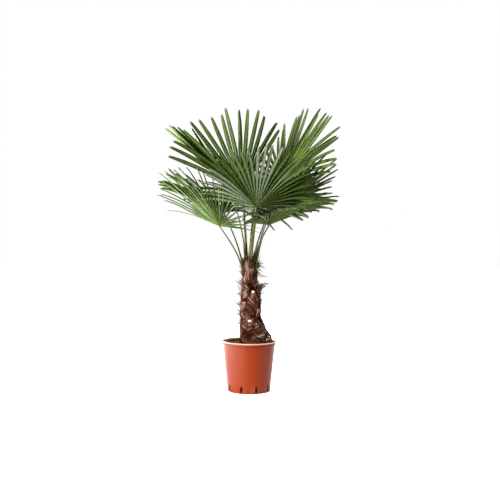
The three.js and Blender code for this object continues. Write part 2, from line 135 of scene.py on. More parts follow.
FRONDS = [
    dict(PLAIN, name="front_left", azimuth=218, reach=177, height=778, lean=44, lean_to=190, roll=20,
         radius=368, start=-119, stop=56, cup=0, fold=0, arch=14, droop=12, seed=15, low=True, bent=0,
         parting=0.26, widening=-0.4, edge_on=-56, dark_to=-8, pale_from=8, pale_cycle=(3, 5, 3, 4, 5),
         tones=(0.45, 0.1, 0.45), foot=205, sheath=(36, 0.1)),
    dict(PLAIN, name="front", azimuth=-79, reach=153, height=867, lean=25, lean_to=-80, roll=-2,
         radius=300, start=-112, cup=4, fold=8, arch=22, droop=10, seed=11, parting=0.42, widening=0.6,
         pale_from=-32, pale_cycle=(4, 5, 3, 4, 3), tones=(0.3, 0.35, 0.35), foot=-80, stalk=(21, 9),
         pale_stalk=True, sheath=(16, 0.06)),
    dict(PLAIN, name="centre", azimuth=-145, reach=44, height=953, lean=2, lean_to=-90, roll=4,
         radius=371, start=-35, stop=70, skew=0.2, cup=6, fold=4, arch=12, seed=12, widening=0.62,
         foot=-145, pale_stalk=True, sheath=(110, 0.24)),
    dict(PLAIN, name="upper_right", azimuth=25, reach=167, height=999, lean=21, lean_to=42, roll=-10,
         radius=380, fold=-5, arch=6, seed=13, widening=0.25, tones=(0.35, 0.3, 0.35), foot=35),
    dict(PLAIN, name="lower_right", azimuth=-30, reach=101, height=786, lean=69, lean_to=6, roll=-8,
         radius=350, stop=126, cup=4, fold=4, arch=12, droop=35, seed=14, low=True,
         tones=(0.3, 0.12, 0.58), foot=-28, sheath=(30, 0.12)),
    dict(PLAIN, name="upper_left", azimuth=163, reach=108, height=962, lean=42, lean_to=158,
         radius=405, start=-28, stop=84, cup=0, fold=0, arch=12, seed=16, widening=0.62,
         tones=(0.35, 0.35, 0.3), foot=150, pale_stalk=True, sheath=(70, 0.2)),
    dict(PLAIN, name="back", azimuth=82, reach=150, height=887, lean=50, lean_to=80, radius=375,
         arch=22, seed=17, foot=92, sheath=(60, 0.2)),
    dict(PLAIN, name="back_left", azimuth=150, reach=150, height=842, lean=50, lean_to=150, radius=345,
         arch=22, droop=15, seed=18, low=True, foot=145),
    dict(PLAIN, name="right", azimuth=-8, reach=150, height=883, lean=42, lean_to=-32, roll=-4,
         radius=322, start=-70, stop=49, arch=12, seed=21, parting=0.32, widening=0, foot=-22),
    dict(PLAIN, name="back_right", azimuth=48, reach=140, height=827, lean=62, lean_to=38, radius=360,
         stop=42, arch=18, droop=20, seed=19, low=True, parting=0.32, widening=0, foot=48,
         sheath=(36, 0.12)),
]

# Camera: a 61 mm lens four metres in front of the plant, a little above its middle
CAMERA_PLACE = (0.0, -4.0, 0.787)
CAMERA_TARGET = (0.0003, 0.0, 0.667)
CAMERA_LENS = 61
CAMERA_ROLL = 0.5


# Plain numbers

def radians(degrees):
    return degrees * math.pi / 180


def lerp(a, b, share):
    return a + (b - a) * share


def polar(radius, azimuth, height=0.0):
    return np.array([radius * math.cos(azimuth), radius * math.sin(azimuth), height])


def unit(vector):
    return vector / np.linalg.norm(vector)


def units(vectors):
    return vectors / np.maximum(np.linalg.norm(vectors, axis=-1, keepdims=True), 1e-9)


def seeded(seed):
    """The same plain generator that the solids use, so that both lay the same segments."""
    state = seed

    def draw():
        nonlocal state
        state = (state * 1664525 + 1013904223) % 4294967296
        return state / 4294967296

    return draw


# Meshes

def deselect():
    if bpy.context.mode != "OBJECT":
        bpy.ops.object.mode_set(mode="OBJECT")
    bpy.ops.object.select_all(action="DESELECT")


def select_only(piece):
    deselect()
    bpy.context.view_layer.objects.active = piece
    piece.select_set(True)


def apply_modifiers(piece):
    select_only(piece)
    for modifier in list(piece.modifiers):
        bpy.ops.object.modifier_apply(modifier=modifier.name)


def smooth(piece, angle):
    """Shades a piece smooth, except at edges sharper than the angle in degrees."""
    select_only(piece)
    bpy.ops.object.shade_smooth_by_angle(angle=radians(angle))


def turn_faces_out(piece):
    select_only(piece)
    bpy.ops.object.mode_set(mode="EDIT")
    bpy.ops.mesh.select_all(action="SELECT")
    bpy.ops.mesh.normals_make_consistent(inside=False)
    bpy.ops.object.mode_set(mode="OBJECT")


def edit_chosen(piece, chosen, of_faces=False):
    """Opens a piece for editing, with only the edges or faces that chosen() picks selected."""
    bpy.ops.object.mode_set(mode="EDIT")
    bpy.ops.mesh.select_all(action="DESELECT")
    body = bmesh.from_edit_mesh(piece.data)
    for part in body.faces if of_faces else body.edges:
        part.select_set(chosen(part))
    bmesh.update_edit_mesh(piece.data)


def unit_cylinder(name, sides, ends):
    """A cylinder primitive of radius 1 and height 1 that stands on the origin."""
    deselect()
    bpy.ops.mesh.primitive_cylinder_add(vertices=sides, radius=1, depth=1, location=(0, 0, 0.5),
                                        end_fill_type=ends)
    piece = bpy.context.object
    piece.name = piece.data.name = name
    bpy.ops.object.transform_apply(location=True, rotation=True, scale=True)
    return piece


def linked_object(name, data):
    piece = bpy.data.objects.new(name, data)
    bpy.context.scene.collection.objects.link(piece)
    return piece


def finish_piece(piece, slot, *nodes):
    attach(piece, "root")
    if nodes:
        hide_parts(*nodes)


def joined_mesh(name, points, faces, finishes, tones=None, along=None):
    """A piece from arrays: points in millimetres, lists of faces, and a finish number for each face."""
    mesh = bpy.data.meshes.new(name)
    corners = np.concatenate([f.ravel() for f in faces])
    sizes = np.concatenate([np.full(len(f), f.shape[1]) for f in faces])
    starts = np.concatenate([[0], np.cumsum(sizes)[:-1]])
    mesh.vertices.add(len(points))
    mesh.vertices.foreach_set("co", (np.asarray(points) * MM).astype(np.float32).ravel())
    mesh.loops.add(len(corners))
    mesh.loops.foreach_set("vertex_index", corners.astype(np.int32))
    mesh.polygons.add(len(sizes))
    mesh.polygons.foreach_set("loop_start", starts.astype(np.int32))
    if tones is not None:
        mesh.polygons.foreach_set("material_index", np.concatenate(tones).astype(np.int32))
    if along is not None:
        layer = mesh.uv_layers.new(name="along")
        layer.data.foreach_set("uv", along[corners].astype(np.float32).ravel())
    for finish in finishes:
        mesh.materials.append(finish)
    mesh.update(calc_edges=True)
    return linked_object(name, mesh)


def column(name, sides, rings, place, finishes):
    """A cylinder, cut into rings, whose points place(turn, share, out) then sets in millimetres.
    Its upper end takes the last of the finishes."""
    piece = unit_cylinder(name, sides, "TRIFAN")
    edit_chosen(piece, lambda edge: abs(edge.verts[0].co.z - edge.verts[1].co.z) > 0.5)
    bpy.ops.mesh.subdivide(number_cuts=rings - 1)
    bpy.ops.object.mode_set(mode="OBJECT")
    for finish in finishes:
        piece.data.materials.append(finish)
    for face in piece.data.polygons:
        face.material_index = len(finishes) - 1 if face.center.z > 0.9999 else 0
    for vertex in piece.data.vertices:
        x, y, z = vertex.co
        vertex.co = Vector(place(math.atan2(y, x), min(1.0, max(0.0, z)), math.hypot(x, y))) * MM
    piece.data.update()
    return piece


# Node groups and materials

def new_group(name, inputs, outputs):
    group = bpy.data.node_groups.new(name, "ShaderNodeTree")
    for label, kind, value in inputs:
        socket = group.interface.new_socket(label, in_out="INPUT", socket_type=kind)
        socket.default_value = value
    for label, kind in outputs:
        group.interface.new_socket(label, in_out="OUTPUT", socket_type=kind)
    return group, group.nodes.new("NodeGroupInput"), group.nodes.new("NodeGroupOutput")


def math_node(tree, operation, first, second=None):
    node = tree.nodes.new("ShaderNodeMath")
    node.operation = operation
    for socket, value in zip(node.inputs, (first, second)):
        if value is None:
            continue
        if isinstance(value, (int, float)):
            socket.default_value = value
        else:
            tree.links.new(value, socket)
    return node.outputs[0]


def scaled(tree, value, factor):
    return math_node(tree, "MULTIPLY", value, factor)


def inverse(tree, value):
    return math_node(tree, "SUBTRACT", 1.0, value)


def mix_colours(tree, share, first, second):
    node = tree.nodes.new("ShaderNodeMix")
    node.data_type = "RGBA"
    for socket, value in ((node.inputs[0], share), (node.inputs[6], first), (node.inputs[7], second)):
        if isinstance(value, bpy.types.NodeSocket):
            tree.links.new(value, socket)
        else:
            socket.default_value = value
    return node.outputs[2]


def ramp(tree, value, low, high):
    """0 below low, 1 above high, smooth between."""
    node = tree.nodes.new("ShaderNodeMapRange")
    node.interpolation_type = "SMOOTHSTEP"
    node.inputs["From Min"].default_value = low
    node.inputs["From Max"].default_value = high
    tree.links.new(value, node.inputs["Value"])
    return node.outputs[0]


def noise_of(tree, place, scale, detail):
    node = tree.nodes.new("ShaderNodeTexNoise")
    node.inputs["Scale"].default_value = scale
    node.inputs["Detail"].default_value = detail
    node.inputs["Roughness"].default_value = 0.6
    tree.links.new(place, node.inputs["Vector"])
    return node.outputs["Fac"]


def mottle_group():
    """Uneven colour: a tone that drifts between darker and lighter, with a fine grain in its relief."""
    group, given, result = new_group(
        "mottle",
        [("Tone", "NodeSocketColor", (0.5, 0.5, 0.5, 1)), ("Dark", "NodeSocketColor", (0.2, 0.2, 0.2, 1)),
         ("Patch scale", "NodeSocketFloat", 20.0), ("Grain scale", "NodeSocketFloat", 400.0)],
        [("Color", "NodeSocketColor"), ("Height", "NodeSocketFloat")])
    place = group.nodes.new("ShaderNodeTexCoord").outputs["Object"]
    patch = group.nodes.new("ShaderNodeTexNoise")
    patch.inputs["Detail"].default_value = 4
    grain = group.nodes.new("ShaderNodeTexNoise")
    grain.inputs["Detail"].default_value = 2
    for node, label in ((patch, "Patch scale"), (grain, "Grain scale")):
        group.links.new(place, node.inputs["Vector"])
        group.links.new(given.outputs[label], node.inputs["Scale"])
    share = ramp(group, patch.outputs["Fac"], 0.32, 0.68)
    colour = mix_colours(group, share, given.outputs["Dark"], given.outputs["Tone"])
    group.links.new(colour, result.inputs["Color"])
    group.links.new(grain.outputs["Fac"], result.inputs["Height"])
    return group


# Painted shade: the colour that one half of each leaflet and the folds between leaflets are darkened towards
PAINTED_SHADE = (0.004, 0.009, 0.001, 1)
VEIN_WAVES = 150.0
LEAF_DRIFT = 14.0
# How strongly each mark of the leaf surface shows; the darker half and the dark folds are painted shade
VEIN_STREAK = 0.055
PAINTED_HALF_SHADE = 0.7
RIB_SHOW = 0.55
PAINTED_FOLD_SHADE = 0.9
FOOT_SHOW = 0.8
TIP_SHOW = 0.5


def leaf_group():
    """A leaflet's surface: pale rib, fine veins, painted shade on one half and in the folds, and a colour at
    either end.
    """
    group, given, result = new_group(
        "leaf surface",
        [("Tone", "NodeSocketColor", (0.1, 0.2, 0.05, 1)), ("Rib", "NodeSocketColor", (0.3, 0.35, 0.12, 1)),
         ("Foot", "NodeSocketColor", (0.25, 0.32, 0.08, 1)),
         ("Tip", "NodeSocketColor", (0.1, 0.15, 0.04, 1))],
        [("Color", "NodeSocketColor"), ("Height", "NodeSocketFloat")])
    tone_in, rib_in, foot_in, tip_in = (given.outputs[label] for label in ("Tone", "Rib", "Foot", "Tip"))
    along = group.nodes.new("ShaderNodeUVMap")
    along.uv_map = "along"
    split = group.nodes.new("ShaderNodeSeparateXYZ")
    group.links.new(along.outputs["UV"], split.inputs[0])
    across, outwards = split.outputs["X"], split.outputs["Y"]
    side = math_node(group, "ABSOLUTE", math_node(group, "SUBTRACT", across, 0.5))
    veins = math_node(group, "SINE", scaled(group, across, VEIN_WAVES))
    place = group.nodes.new("ShaderNodeTexCoord").outputs["Object"]
    drift = ramp(group, noise_of(group, place, LEAF_DRIFT, 3.0), 0.35, 0.65)
    streak = scaled(group, math_node(group, "ADD", veins, 1.0), VEIN_STREAK)
    # Painted shade on one half of each leaflet, as if only the other half caught the light
    half = scaled(group, ramp(group, across, 0.47, 0.53), PAINTED_HALF_SHADE)
    rib = inverse(group, ramp(group, side, 0.012, 0.04))
    # Painted shade in the folds between leaflets
    fold = scaled(group, ramp(group, side, 0.25, 0.46), PAINTED_FOLD_SHADE)
    foot = inverse(group, ramp(group, outwards, 0.02, 0.22))
    tip = scaled(group, ramp(group, outwards, 0.8, 1.04), TIP_SHOW)
    tone = mix_colours(group, drift, tone_in, mix_colours(group, 0.22, tone_in, rib_in))
    for share, colour in ((streak, rib_in), (half, PAINTED_SHADE), (scaled(group, rib, RIB_SHOW), rib_in),
                          (fold, PAINTED_SHADE), (scaled(group, foot, FOOT_SHOW), foot_in), (tip, tip_in)):
        tone = mix_colours(group, share, tone, colour)
    group.links.new(tone, result.inputs["Color"])
    height = math_node(group, "ADD", scaled(group, veins, 0.25), rib)
    group.links.new(height, result.inputs["Height"])
    return group


def bare_material(name, roughness, specular):
    material = bpy.data.materials.new(name)
    material.use_nodes = True
    tree = material.node_tree
    shader = tree.nodes["Principled BSDF"]
    shader.inputs["Roughness"].default_value = roughness
    shader.inputs["Specular IOR Level"].default_value = specular
    return material, tree, shader


def add_bump(tree, shader, height, strength, distance):
    bump = tree.nodes.new("ShaderNodeBump")
    bump.inputs["Strength"].default_value = strength
    bump.inputs["Distance"].default_value = distance
    tree.links.new(height, bump.inputs["Height"])
    tree.links.new(bump.outputs["Normal"], shader.inputs["Normal"])


def placed_group(tree, group, **values):
    node = tree.nodes.new("ShaderNodeGroup")
    node.node_tree = group
    for label, value in values.items():
        node.inputs[label.replace("_", " ")].default_value = value
    return node


MOTTLE = mottle_group()
LEAF = leaf_group()


def mottled_material(name, tone, dark, patch, grain, roughness, bump=0.3, depth=0.001, specular=0.03):
    material, tree, shader = bare_material(name, roughness, specular)
    group = placed_group(tree, MOTTLE, Tone=(*tone, 1), Dark=(*dark, 1), Patch_scale=patch, Grain_scale=grain)
    tree.links.new(group.outputs["Color"], shader.inputs["Base Color"])
    add_bump(tree, shader, group.outputs["Height"], bump, depth)
    return material


RIB = (0.1, 0.13, 0.03)
FOOT = (0.036, 0.054, 0.01)
# The green backs' foot colour is painted shade, where the fans lie over one another near their hubs
SHADED_GREEN_FOOT = (0.016, 0.032, 0.002)
LEAF_SHEEN = 0.02
LEAF_RELIEF = (0.35, 0.0006)


def leaf_finishes(foot, roughness, rows):
    """The middle, light and dark finish for one side of the leaflets: name, tone and tip colour of each.
    The light and dark ones are partly the leaflets' own tone and partly painted light and shade.
    """
    finishes = []
    for name, tone, tip in rows:
        material, tree, shader = bare_material(name, roughness, LEAF_SHEEN)
        group = placed_group(tree, LEAF, Tone=(*tone, 1), Rib=(*RIB, 1), Foot=(*foot, 1), Tip=(*tip, 1))
        tree.links.new(group.outputs["Color"], shader.inputs["Base Color"])
        add_bump(tree, shader, group.outputs["Height"], *LEAF_RELIEF)
        finishes.append(material)
    return finishes


# Light and dark copies of each leaf colour: partly the leaflets' own tone, partly painted light and shade
LEAF_TOPS = leaf_finishes(FOOT, 0.45, [
    ("leaf_green", (0.031, 0.06, 0.004), (0.022, 0.039, 0.004)),
    ("leaf_light_green", (0.06, 0.093, 0.014), (0.045, 0.066, 0.012)),
    ("leaf_deep_green", (0.0072, 0.0185, 0.0004), (0.007, 0.016, 0.0006)),
])
SAGE_BACKS = leaf_finishes(FOOT, 0.55, [
    ("leaf_back_sage", (0.066, 0.089, 0.043), (0.047, 0.064, 0.026)),
    ("leaf_back_pale_sage", (0.126, 0.15, 0.104), (0.088, 0.106, 0.065)),
    ("leaf_back_dark_sage", (0.0145, 0.029, 0.003), (0.0125, 0.023, 0.002)),
])
LOW_SAGE_BACKS = leaf_finishes(FOOT, 0.55, [
    ("leaf_back_low_sage", (0.053, 0.073, 0.043), (0.039, 0.053, 0.03)),
    ("leaf_back_low_pale_sage", (0.1, 0.122, 0.102), (0.072, 0.088, 0.07)),
    ("leaf_back_low_dark_sage", (0.0135, 0.026, 0.005), (0.0115, 0.021, 0.004)),
])
GREEN_BACKS = leaf_finishes(SHADED_GREEN_FOOT, 0.5, [
    ("leaf_back_green", (0.037, 0.067, 0.008), (0.027, 0.046, 0.006)),
    ("leaf_back_light_green", (0.085, 0.125, 0.034), (0.053, 0.077, 0.019)),
    ("leaf_back_dark_green", (0.0072, 0.0185, 0.0003), (0.0065, 0.016, 0.0004)),
])

STALK_GRAIN = dict(grain=160, roughness=0.45, bump=0.15)
STALK = mottled_material("stalk_green", (0.014, 0.022, 0.0035), (0.0065, 0.012, 0.0015), 9, **STALK_GRAIN)
STALK_PALE = mottled_material("stalk_yellow_green", (0.046, 0.053, 0.009), (0.022, 0.028, 0.004), 12,
                              **STALK_GRAIN)

FIBRE_GRAIN = dict(patch=30, grain=600, roughness=0.9, bump=0.4, depth=0.001, specular=0)
FIBRE_DARK = mottled_material("fibre_dark", (0.0075, 0.0024, 0.0011), (0.003, 0.001, 0.0005),
                              **dict(FIBRE_GRAIN, roughness=0.95, bump=0.6, depth=0.002))
FIBRES = [
    FIBRE_DARK,
    mottled_material("fibre_red_brown", (0.037, 0.0132, 0.008), (0.017, 0.006, 0.0035), **FIBRE_GRAIN),
    mottled_material("fibre_brown", (0.053, 0.0232, 0.0155), (0.027, 0.0112, 0.0075), **FIBRE_GRAIN),
    mottled_material("fibre_straw", (0.18, 0.112, 0.083), (0.11, 0.065, 0.046), **FIBRE_GRAIN),
]
STUB_BROWN = mottled_material("stub_brown", (0.07, 0.036, 0.023), (0.024, 0.011, 0.007), 90, 500, 0.85, 0.5)
CUT_END = mottled_material("cut_end_cream", (0.48, 0.4, 0.3), (0.33, 0.25, 0.16), 120, 500, 0.8, 0.4)
CUT_WORN = mottled_material("cut_end_weathered", (0.13, 0.08, 0.058), (0.06, 0.032, 0.022), 120, 500,
                            0.85, 0.4)

SOIL_GRAIN = dict(patch=60, grain=300, roughness=0.95, bump=0.8, depth=0.004, specular=0)
SOIL_DARK = mottled_material("soil_dark", (0.014, 0.0075, 0.005), (0.004, 0.0022, 0.0013), **SOIL_GRAIN)
# Painted shade: the filling seen through the slots, darker than any soil
SOIL_PAINTED_SHADE = mottled_material("soil_painted_shade", (0.0022, 0.0012, 0.0008), (0.0012, 0.0007, 0.0004), **SOIL_GRAIN)
SOIL_OLIVE = mottled_material("soil_olive_brown", (0.082, 0.062, 0.042), (0.034, 0.024, 0.0155),
                              **dict(SOIL_GRAIN, bump=0.7, depth=0.003))
SOIL_CHIP = mottled_material("bark_chip", (0.26, 0.19, 0.15), (0.12, 0.085, 0.063), 80, 400, 0.9,
                             0.6, 0.002, 0)
CRUMBS = [SOIL_DARK, SOIL_OLIVE, SOIL_CHIP]

PLASTIC_TONE = (0.054, 0.0058, 0.0001, 1)
PLASTIC_DARK = (0.048, 0.005, 0.0001, 1)
DUST = (0.13, 0.04, 0.018, 1)
# Painted highlight along the top of the lip
PAINTED_LIP_HIGHLIGHT = (0.4, 0.18, 0.125, 1)
# Painted shadow under the lip, on the band
PAINTED_LIP_SHADOW = (0.018, 0.003, 0.001, 1)
# From which height to which they come and go, in metres
DUST_FADES = (0.0, 0.05)
LIP_HIGHLIGHT_COMES = (0.2335, 0.2355)
LIP_SHADOW_COMES = (0.217, 0.222)
LIP_SHADOW_FADES = (0.224, 0.229)


def pot_material():
    """Moulded plastic with a faint drift of tone, dust at its foot, a painted highlight on the lip and a
    painted shadow under it.
    """
    material, tree, shader = bare_material("terracotta_plastic", 0.4, 0.05)
    group = placed_group(tree, MOTTLE, Tone=PLASTIC_TONE, Dark=PLASTIC_DARK, Patch_scale=7, Grain_scale=900)
    place = tree.nodes.new("ShaderNodeTexCoord").outputs["Object"]
    split = tree.nodes.new("ShaderNodeSeparateXYZ")
    tree.links.new(place, split.inputs[0])
    height = split.outputs["Z"]
    speck = ramp(tree, noise_of(tree, place, 55.0, 5.0), 0.45, 0.7)
    dust = math_node(tree, "MULTIPLY", inverse(tree, ramp(tree, height, *DUST_FADES)), speck)
    # Painted highlight on the lip
    lip = ramp(tree, height, *LIP_HIGHLIGHT_COMES)
    # Painted shadow cast by the lip onto the band
    lip_shadow = math_node(tree, "MULTIPLY", ramp(tree, height, *LIP_SHADOW_COMES),
                      inverse(tree, ramp(tree, height, *LIP_SHADOW_FADES)))
    colour = group.outputs["Color"]
    # The mark on the lip is a painted highlight and the one below it a painted shadow
    for share, strength, mark in ((dust, 0.3, DUST), (lip, 0.55, PAINTED_LIP_HIGHLIGHT), (lip_shadow, 0.55, PAINTED_LIP_SHADOW)):
        colour = mix_colours(tree, scaled(tree, share, strength), colour, mark)
    tree.links.new(colour, shader.inputs["Base Color"])
    add_bump(tree, shader, group.outputs["Height"], 0.06, 0.0004)
    return material


POT_PLASTIC = pot_material()


# Pot

def pot_wall_radius(z):
    return lerp(POT_FOOT_RADIUS, POT_BAND_RADIUS, z / (POT_HEIGHT - POT_LIP_HEIGHT))


def pot_profile():
    """The wall's section from the middle of the underside out, up, over the rolled lip and down inside."""
    lip_foot = POT_HEIGHT - POT_LIP_HEIGHT
    band_foot = lip_foot - POT_BAND_HEIGHT
    foot = [(0, 0), (POT_FOOT_RADIUS - 4, 0), (POT_FOOT_RADIUS - 2.2, 0.35), (POT_FOOT_RADIUS - 0.9, 1.4),
            (pot_wall_radius(3.2), 3.2), (pot_wall_radius(40), 40), (pot_wall_radius(120), 120)]
    band = [(pot_wall_radius(band_foot - 1), band_foot - 1), (POT_BAND_RADIUS + 0.4, band_foot + 0.2),
            (POT_BAND_RADIUS + 1.6, band_foot + 1.6), (POT_BAND_RADIUS + 2.4, lip_foot - 0.8),
            (POT_BAND_RADIUS + 3.2, lip_foot)]
    roll = POT_LIP_HEIGHT / 2
    turns = [radians(-80 + 26 * k) for k in range(7)]
    lip = [(POT_RIM_RADIUS - roll + roll * math.cos(t), lip_foot + roll + roll * math.sin(t)) for t in turns]
    inner_top = [(POT_BAND_RADIUS + 3, POT_HEIGHT - 0.3), (POT_BAND_RADIUS + 0.6, POT_HEIGHT - 1.2),
                 (POT_BAND_RADIUS - 0.4, POT_HEIGHT - 4)]
    inside = [(pot_wall_radius(band_foot) - POT_WALL, band_foot - 2),
              (pot_wall_radius(POT_FLOOR) - POT_WALL, POT_FLOOR), (0, POT_FLOOR)]
    return foot + band + lip + inner_top + inside


def spun_shell(name, profile, steps):
    """The profile drawn point by point with extrude, then spun round the Z axis."""
    mesh = bpy.data.meshes.new(name)
    mesh.from_pydata([(profile[0][0] * MM, 0, profile[0][1] * MM)], [], [])
    piece = linked_object(name, mesh)
    select_only(piece)
    bpy.ops.object.mode_set(mode="EDIT")
    bpy.ops.mesh.select_all(action="SELECT")
    for (x, z), (nx, nz) in zip(profile, profile[1:]):
        step = ((nx - x) * MM, 0, (nz - z) * MM)
        bpy.ops.mesh.extrude_region_move(TRANSFORM_OT_translate={"value": step})
    bpy.ops.mesh.select_all(action="SELECT")
    bpy.ops.mesh.spin(steps=steps, angle=2 * math.pi, center=(0, 0, 0), axis=(0, 0, 1))
    bpy.ops.mesh.select_all(action="SELECT")
    bpy.ops.mesh.remove_doubles(threshold=0.00001)
    bpy.ops.mesh.normals_make_consistent(inside=False)
    bpy.ops.object.mode_set(mode="OBJECT")
    return piece


def slot_cutter(azimuth):
    """A box with a rounded top that reaches through the wall."""
    deselect()
    middle = polar(POT_FOOT_RADIUS, azimuth, SLOT_FOOT + SLOT_HEIGHT / 2) * MM
    bpy.ops.mesh.primitive_cube_add(size=1, location=middle, rotation=(0, 0, azimuth),
                                    scale=(SLOT_CUT_DEPTH * MM, SLOT_WIDTH * MM, SLOT_HEIGHT * MM))
    cutter = bpy.context.object
    bpy.ops.object.transform_apply(location=True, rotation=True, scale=True)
    top = (SLOT_FOOT + SLOT_HEIGHT) * MM - 1e-5
    out = Vector(polar(1, azimuth))

    def upper_side(edge):
        a, b = (v.co for v in edge.verts)
        return abs((a - b).normalized().dot(out)) > 0.9 and a.z > top

    edit_chosen(cutter, upper_side)
    bpy.ops.mesh.bevel(offset=SLOT_WIDTH * SLOT_ROUNDING * MM, segments=5, affect="EDGES")
    bpy.ops.object.mode_set(mode="OBJECT")
    return cutter


def make_pot():
    pot = spun_shell("pot_shell", pot_profile(), POT_STEPS)
    for i in range(SLOT_COUNT):
        cutter = slot_cutter(radians((i + 0.5) * 360 / SLOT_COUNT - 90))
        cut = pot.modifiers.new("slot", "BOOLEAN")
        cut.operation = "DIFFERENCE"
        cut.solver = "EXACT"
        cut.object = cutter
        apply_modifiers(pot)
        bpy.data.objects.remove(cutter)
    pot.data.materials.append(POT_PLASTIC)
    smooth(pot, 32)
    finish_piece(pot, "terracotta_plastic", "pot")


# Trunk surface

def trunk_centre_x(z):
    return np.interp(z, TRUNK_STATIONS[:, 0], TRUNK_STATIONS[:, 2])


def turn_from_mound(azimuth):
    """The turn from the mound's middle, in half widths of the mound."""
    return np.arccos(np.clip(np.cos(azimuth - radians(MOUND_AZIMUTH)), -1, 1)) / radians(MOUND_HALF_ANGLE)


def trunk_radius(azimuth, z):
    """Works on numbers and on arrays alike."""
    body = np.interp(z, TRUNK_STATIONS[:, 0], TRUNK_STATIONS[:, 1])
    above = z - TRUNK_FOOT
    flare = FLARE_OUT * np.exp(-above / FLARE_HEIGHT)
    away = turn_from_mound(azimuth)
    side = np.where(away < 1, np.cos(np.minimum(away, 1) * math.pi / 2) ** 2, 0)
    mound = np.minimum(MOUND_LIMIT, MOUND_OUT * np.maximum(0, 1 - above / MOUND_HEIGHT))
    lumps = np.sin(5 * azimuth + z / 17) + np.sin(3 * azimuth - z / 11)
    return body + flare + mound * side + TRUNK_LUMP * lumps


def trunk_point(azimuth, z, out=0.0):
    radius = trunk_radius(azimuth, z) + out
    x = radius * np.cos(azimuth) + trunk_centre_x(z)
    return np.stack([x, radius * np.sin(azimuth), z + 0 * radius], -1)


def mound_share(azimuth, z):
    """1 on the mound, 0 away from it."""
    above = (z - TRUNK_FOOT) / MOUND_HEIGHT
    return np.clip(1.2 - turn_from_mound(azimuth), 0, 1) * np.clip(1.1 - above, 0, 1)


RIPPLE_COUNT = 14
RIPPLE_RELIEF = 0.8
COLLAR_RELIEF = 1.4
BARK_INSET = 0.8
# The share of the height from which the trunk's head rounds off, and how much narrower it gets
HEAD_ROUNDS_FROM = 0.97
HEAD_ROUNDING = 0.45


def make_trunk():
    """The bark: ridges of old sheaths that run round the trunk, and rough fibre in the relief."""
    rng = np.random.default_rng(4)
    ripples = [(rng.integers(4, 19), rng.uniform(-0.12, 0.12), rng.uniform(0, 6.3), rng.uniform(0.2, 0.7))
               for _ in range(RIPPLE_COUNT)]

    def place(turn, share, out):
        z = lerp(TRUNK_FOOT, TRUNK_TOP, share)
        relief = sum(high * math.sin(count * turn + lean * z + start) for count, lean, start, high in ripples)
        patchy = 0.5 + 0.5 * math.sin(turn * 3 + z / 23)
        collar = COLLAR_RELIEF * math.sin(z / 6.2 + 2.2 * turn) * patchy
        near_top = max(0.0, (share - HEAD_ROUNDS_FROM) / (1 - HEAD_ROUNDS_FROM))
        radius = trunk_radius(turn, z) + relief * RIPPLE_RELIEF + collar - BARK_INSET
        radius = radius * (1 - HEAD_ROUNDING * near_top ** 2) * out
        return polar(radius, turn, z) + np.array([trunk_centre_x(z), 0, 0])

    bark = column("trunk_bark", sides=120, rings=130, place=place, finishes=[FIBRE_DARK])
    smooth(bark, 60)
    finish_piece(bark, "trunk_fibre", "trunk")


# Strands

STRAND_FLATNESS = 0.7
STRAND_POINT = 0.12
# Where fibre turns from dark to red-brown, brown and straw
TONE_STEPS = [-0.15, 0.5, 1.2]
STRAW = 3
# The odds of each colour among the tufts, the tufts on the pale left side, and the stout strands
HAIR_ODDS = (0.5, 0.24, 0.18, 0.08)
PALE_HAIR_ODDS = (0.2, 0.2, 0.3, 0.3)
STRAY_ODDS = (0.7, 0.2, 0.1)


def strands(name, routes, widths, tones):
    """Three-sided tapering strands of fibre in one piece: routes is (strand, point, xyz) in millimetres."""
    count, steps, _ = routes.shape
    tangents = units(np.gradient(routes, axis=1))
    axis = np.array([trunk_centre_x(400), 0, 0])
    guide = units(routes[:, :1] - axis - routes[:, :1] * [0, 0, 1])
    side = units(np.cross(tangents, np.broadcast_to(guide, tangents.shape)))
    lift = np.cross(side, tangents)
    share = np.linspace(0, 1, steps)
    half = widths[:, None] / 2 * np.clip(1.15 - share ** 1.6, STRAND_POINT, 1)[None, :]
    ring = np.arange(count * steps * 3).reshape(count, steps, 3)
    near, far = ring[:, :-1], ring[:, 1:]
    corners, quads = [], []
    for k in range(3):
        turn = radians(90 + 120 * k)
        offset = side * math.cos(turn) + lift * math.sin(turn) * STRAND_FLATNESS
        corners.append(routes + offset * half[..., None])
        n = (k + 1) % 3
        quads.append(np.stack([near[..., k], near[..., n], far[..., n], far[..., k]], -1).reshape(-1, 4))
    points = np.stack(corners, 2).reshape(-1, 3)
    quads = np.concatenate(quads)
    caps = np.concatenate([ring[:, 0][:, ::-1], ring[:, -1]])
    of_strand = np.repeat(np.arange(count), steps - 1)
    quad_tones = tones[np.concatenate([of_strand] * 3)]
    cap_tones = tones[np.concatenate([np.arange(count)] * 2)]
    piece = joined_mesh(name, points, [quads, caps], FIBRES, [quad_tones, cap_tones])
    finish_piece(piece, "trunk_fibre")


def fibre_tones(azimuth, z, rng, lean=0.0, scatter=0.45):
    """Fibre colours in patches: 0 dark, 1 red-brown, 2 brown, 3 straw."""
    patch = (np.sin(2 * azimuth + z / 19) + np.sin(3 * azimuth - z / 27 + 1.7)
             + 0.7 * np.sin(azimuth + z / 8.5) + 0.9 * np.cos(azimuth + 2.3)) / 2.6
    value = patch * 0.75 + rng.normal(0, scatter, len(z)) + lean
    return np.digitize(value, TONE_STEPS)


BUNDLE_COUNT = 640
BUNDLE_STRANDS = 9
BUNDLE_POINTS = 6
# The trunk's radius, as the bundles take it to turn a length into an angle
MEAN_RADIUS = 40
# Degrees from upright, on the trunk and on the neck
BUNDLE_SLANTS = (8, 66)
NECK_SLANTS = (0, 20)
BUNDLE_LENGTHS = (26, 62)
BUNDLE_DEPTHS = (0.1, 2.6)
BUNDLE_BEND = 0.5
BUNDLE_HALF_WIDTH = 2.6
STRAND_WIDTHS = (0.9, 2.2)
STRAND_BOW = 2.4
# Some strands come loose, and some take a colour of their own
LOOSE_ODDS = 0.2
LOOSE_ENDS = (2, 8)
OWN_TONE_ODDS = 0.25


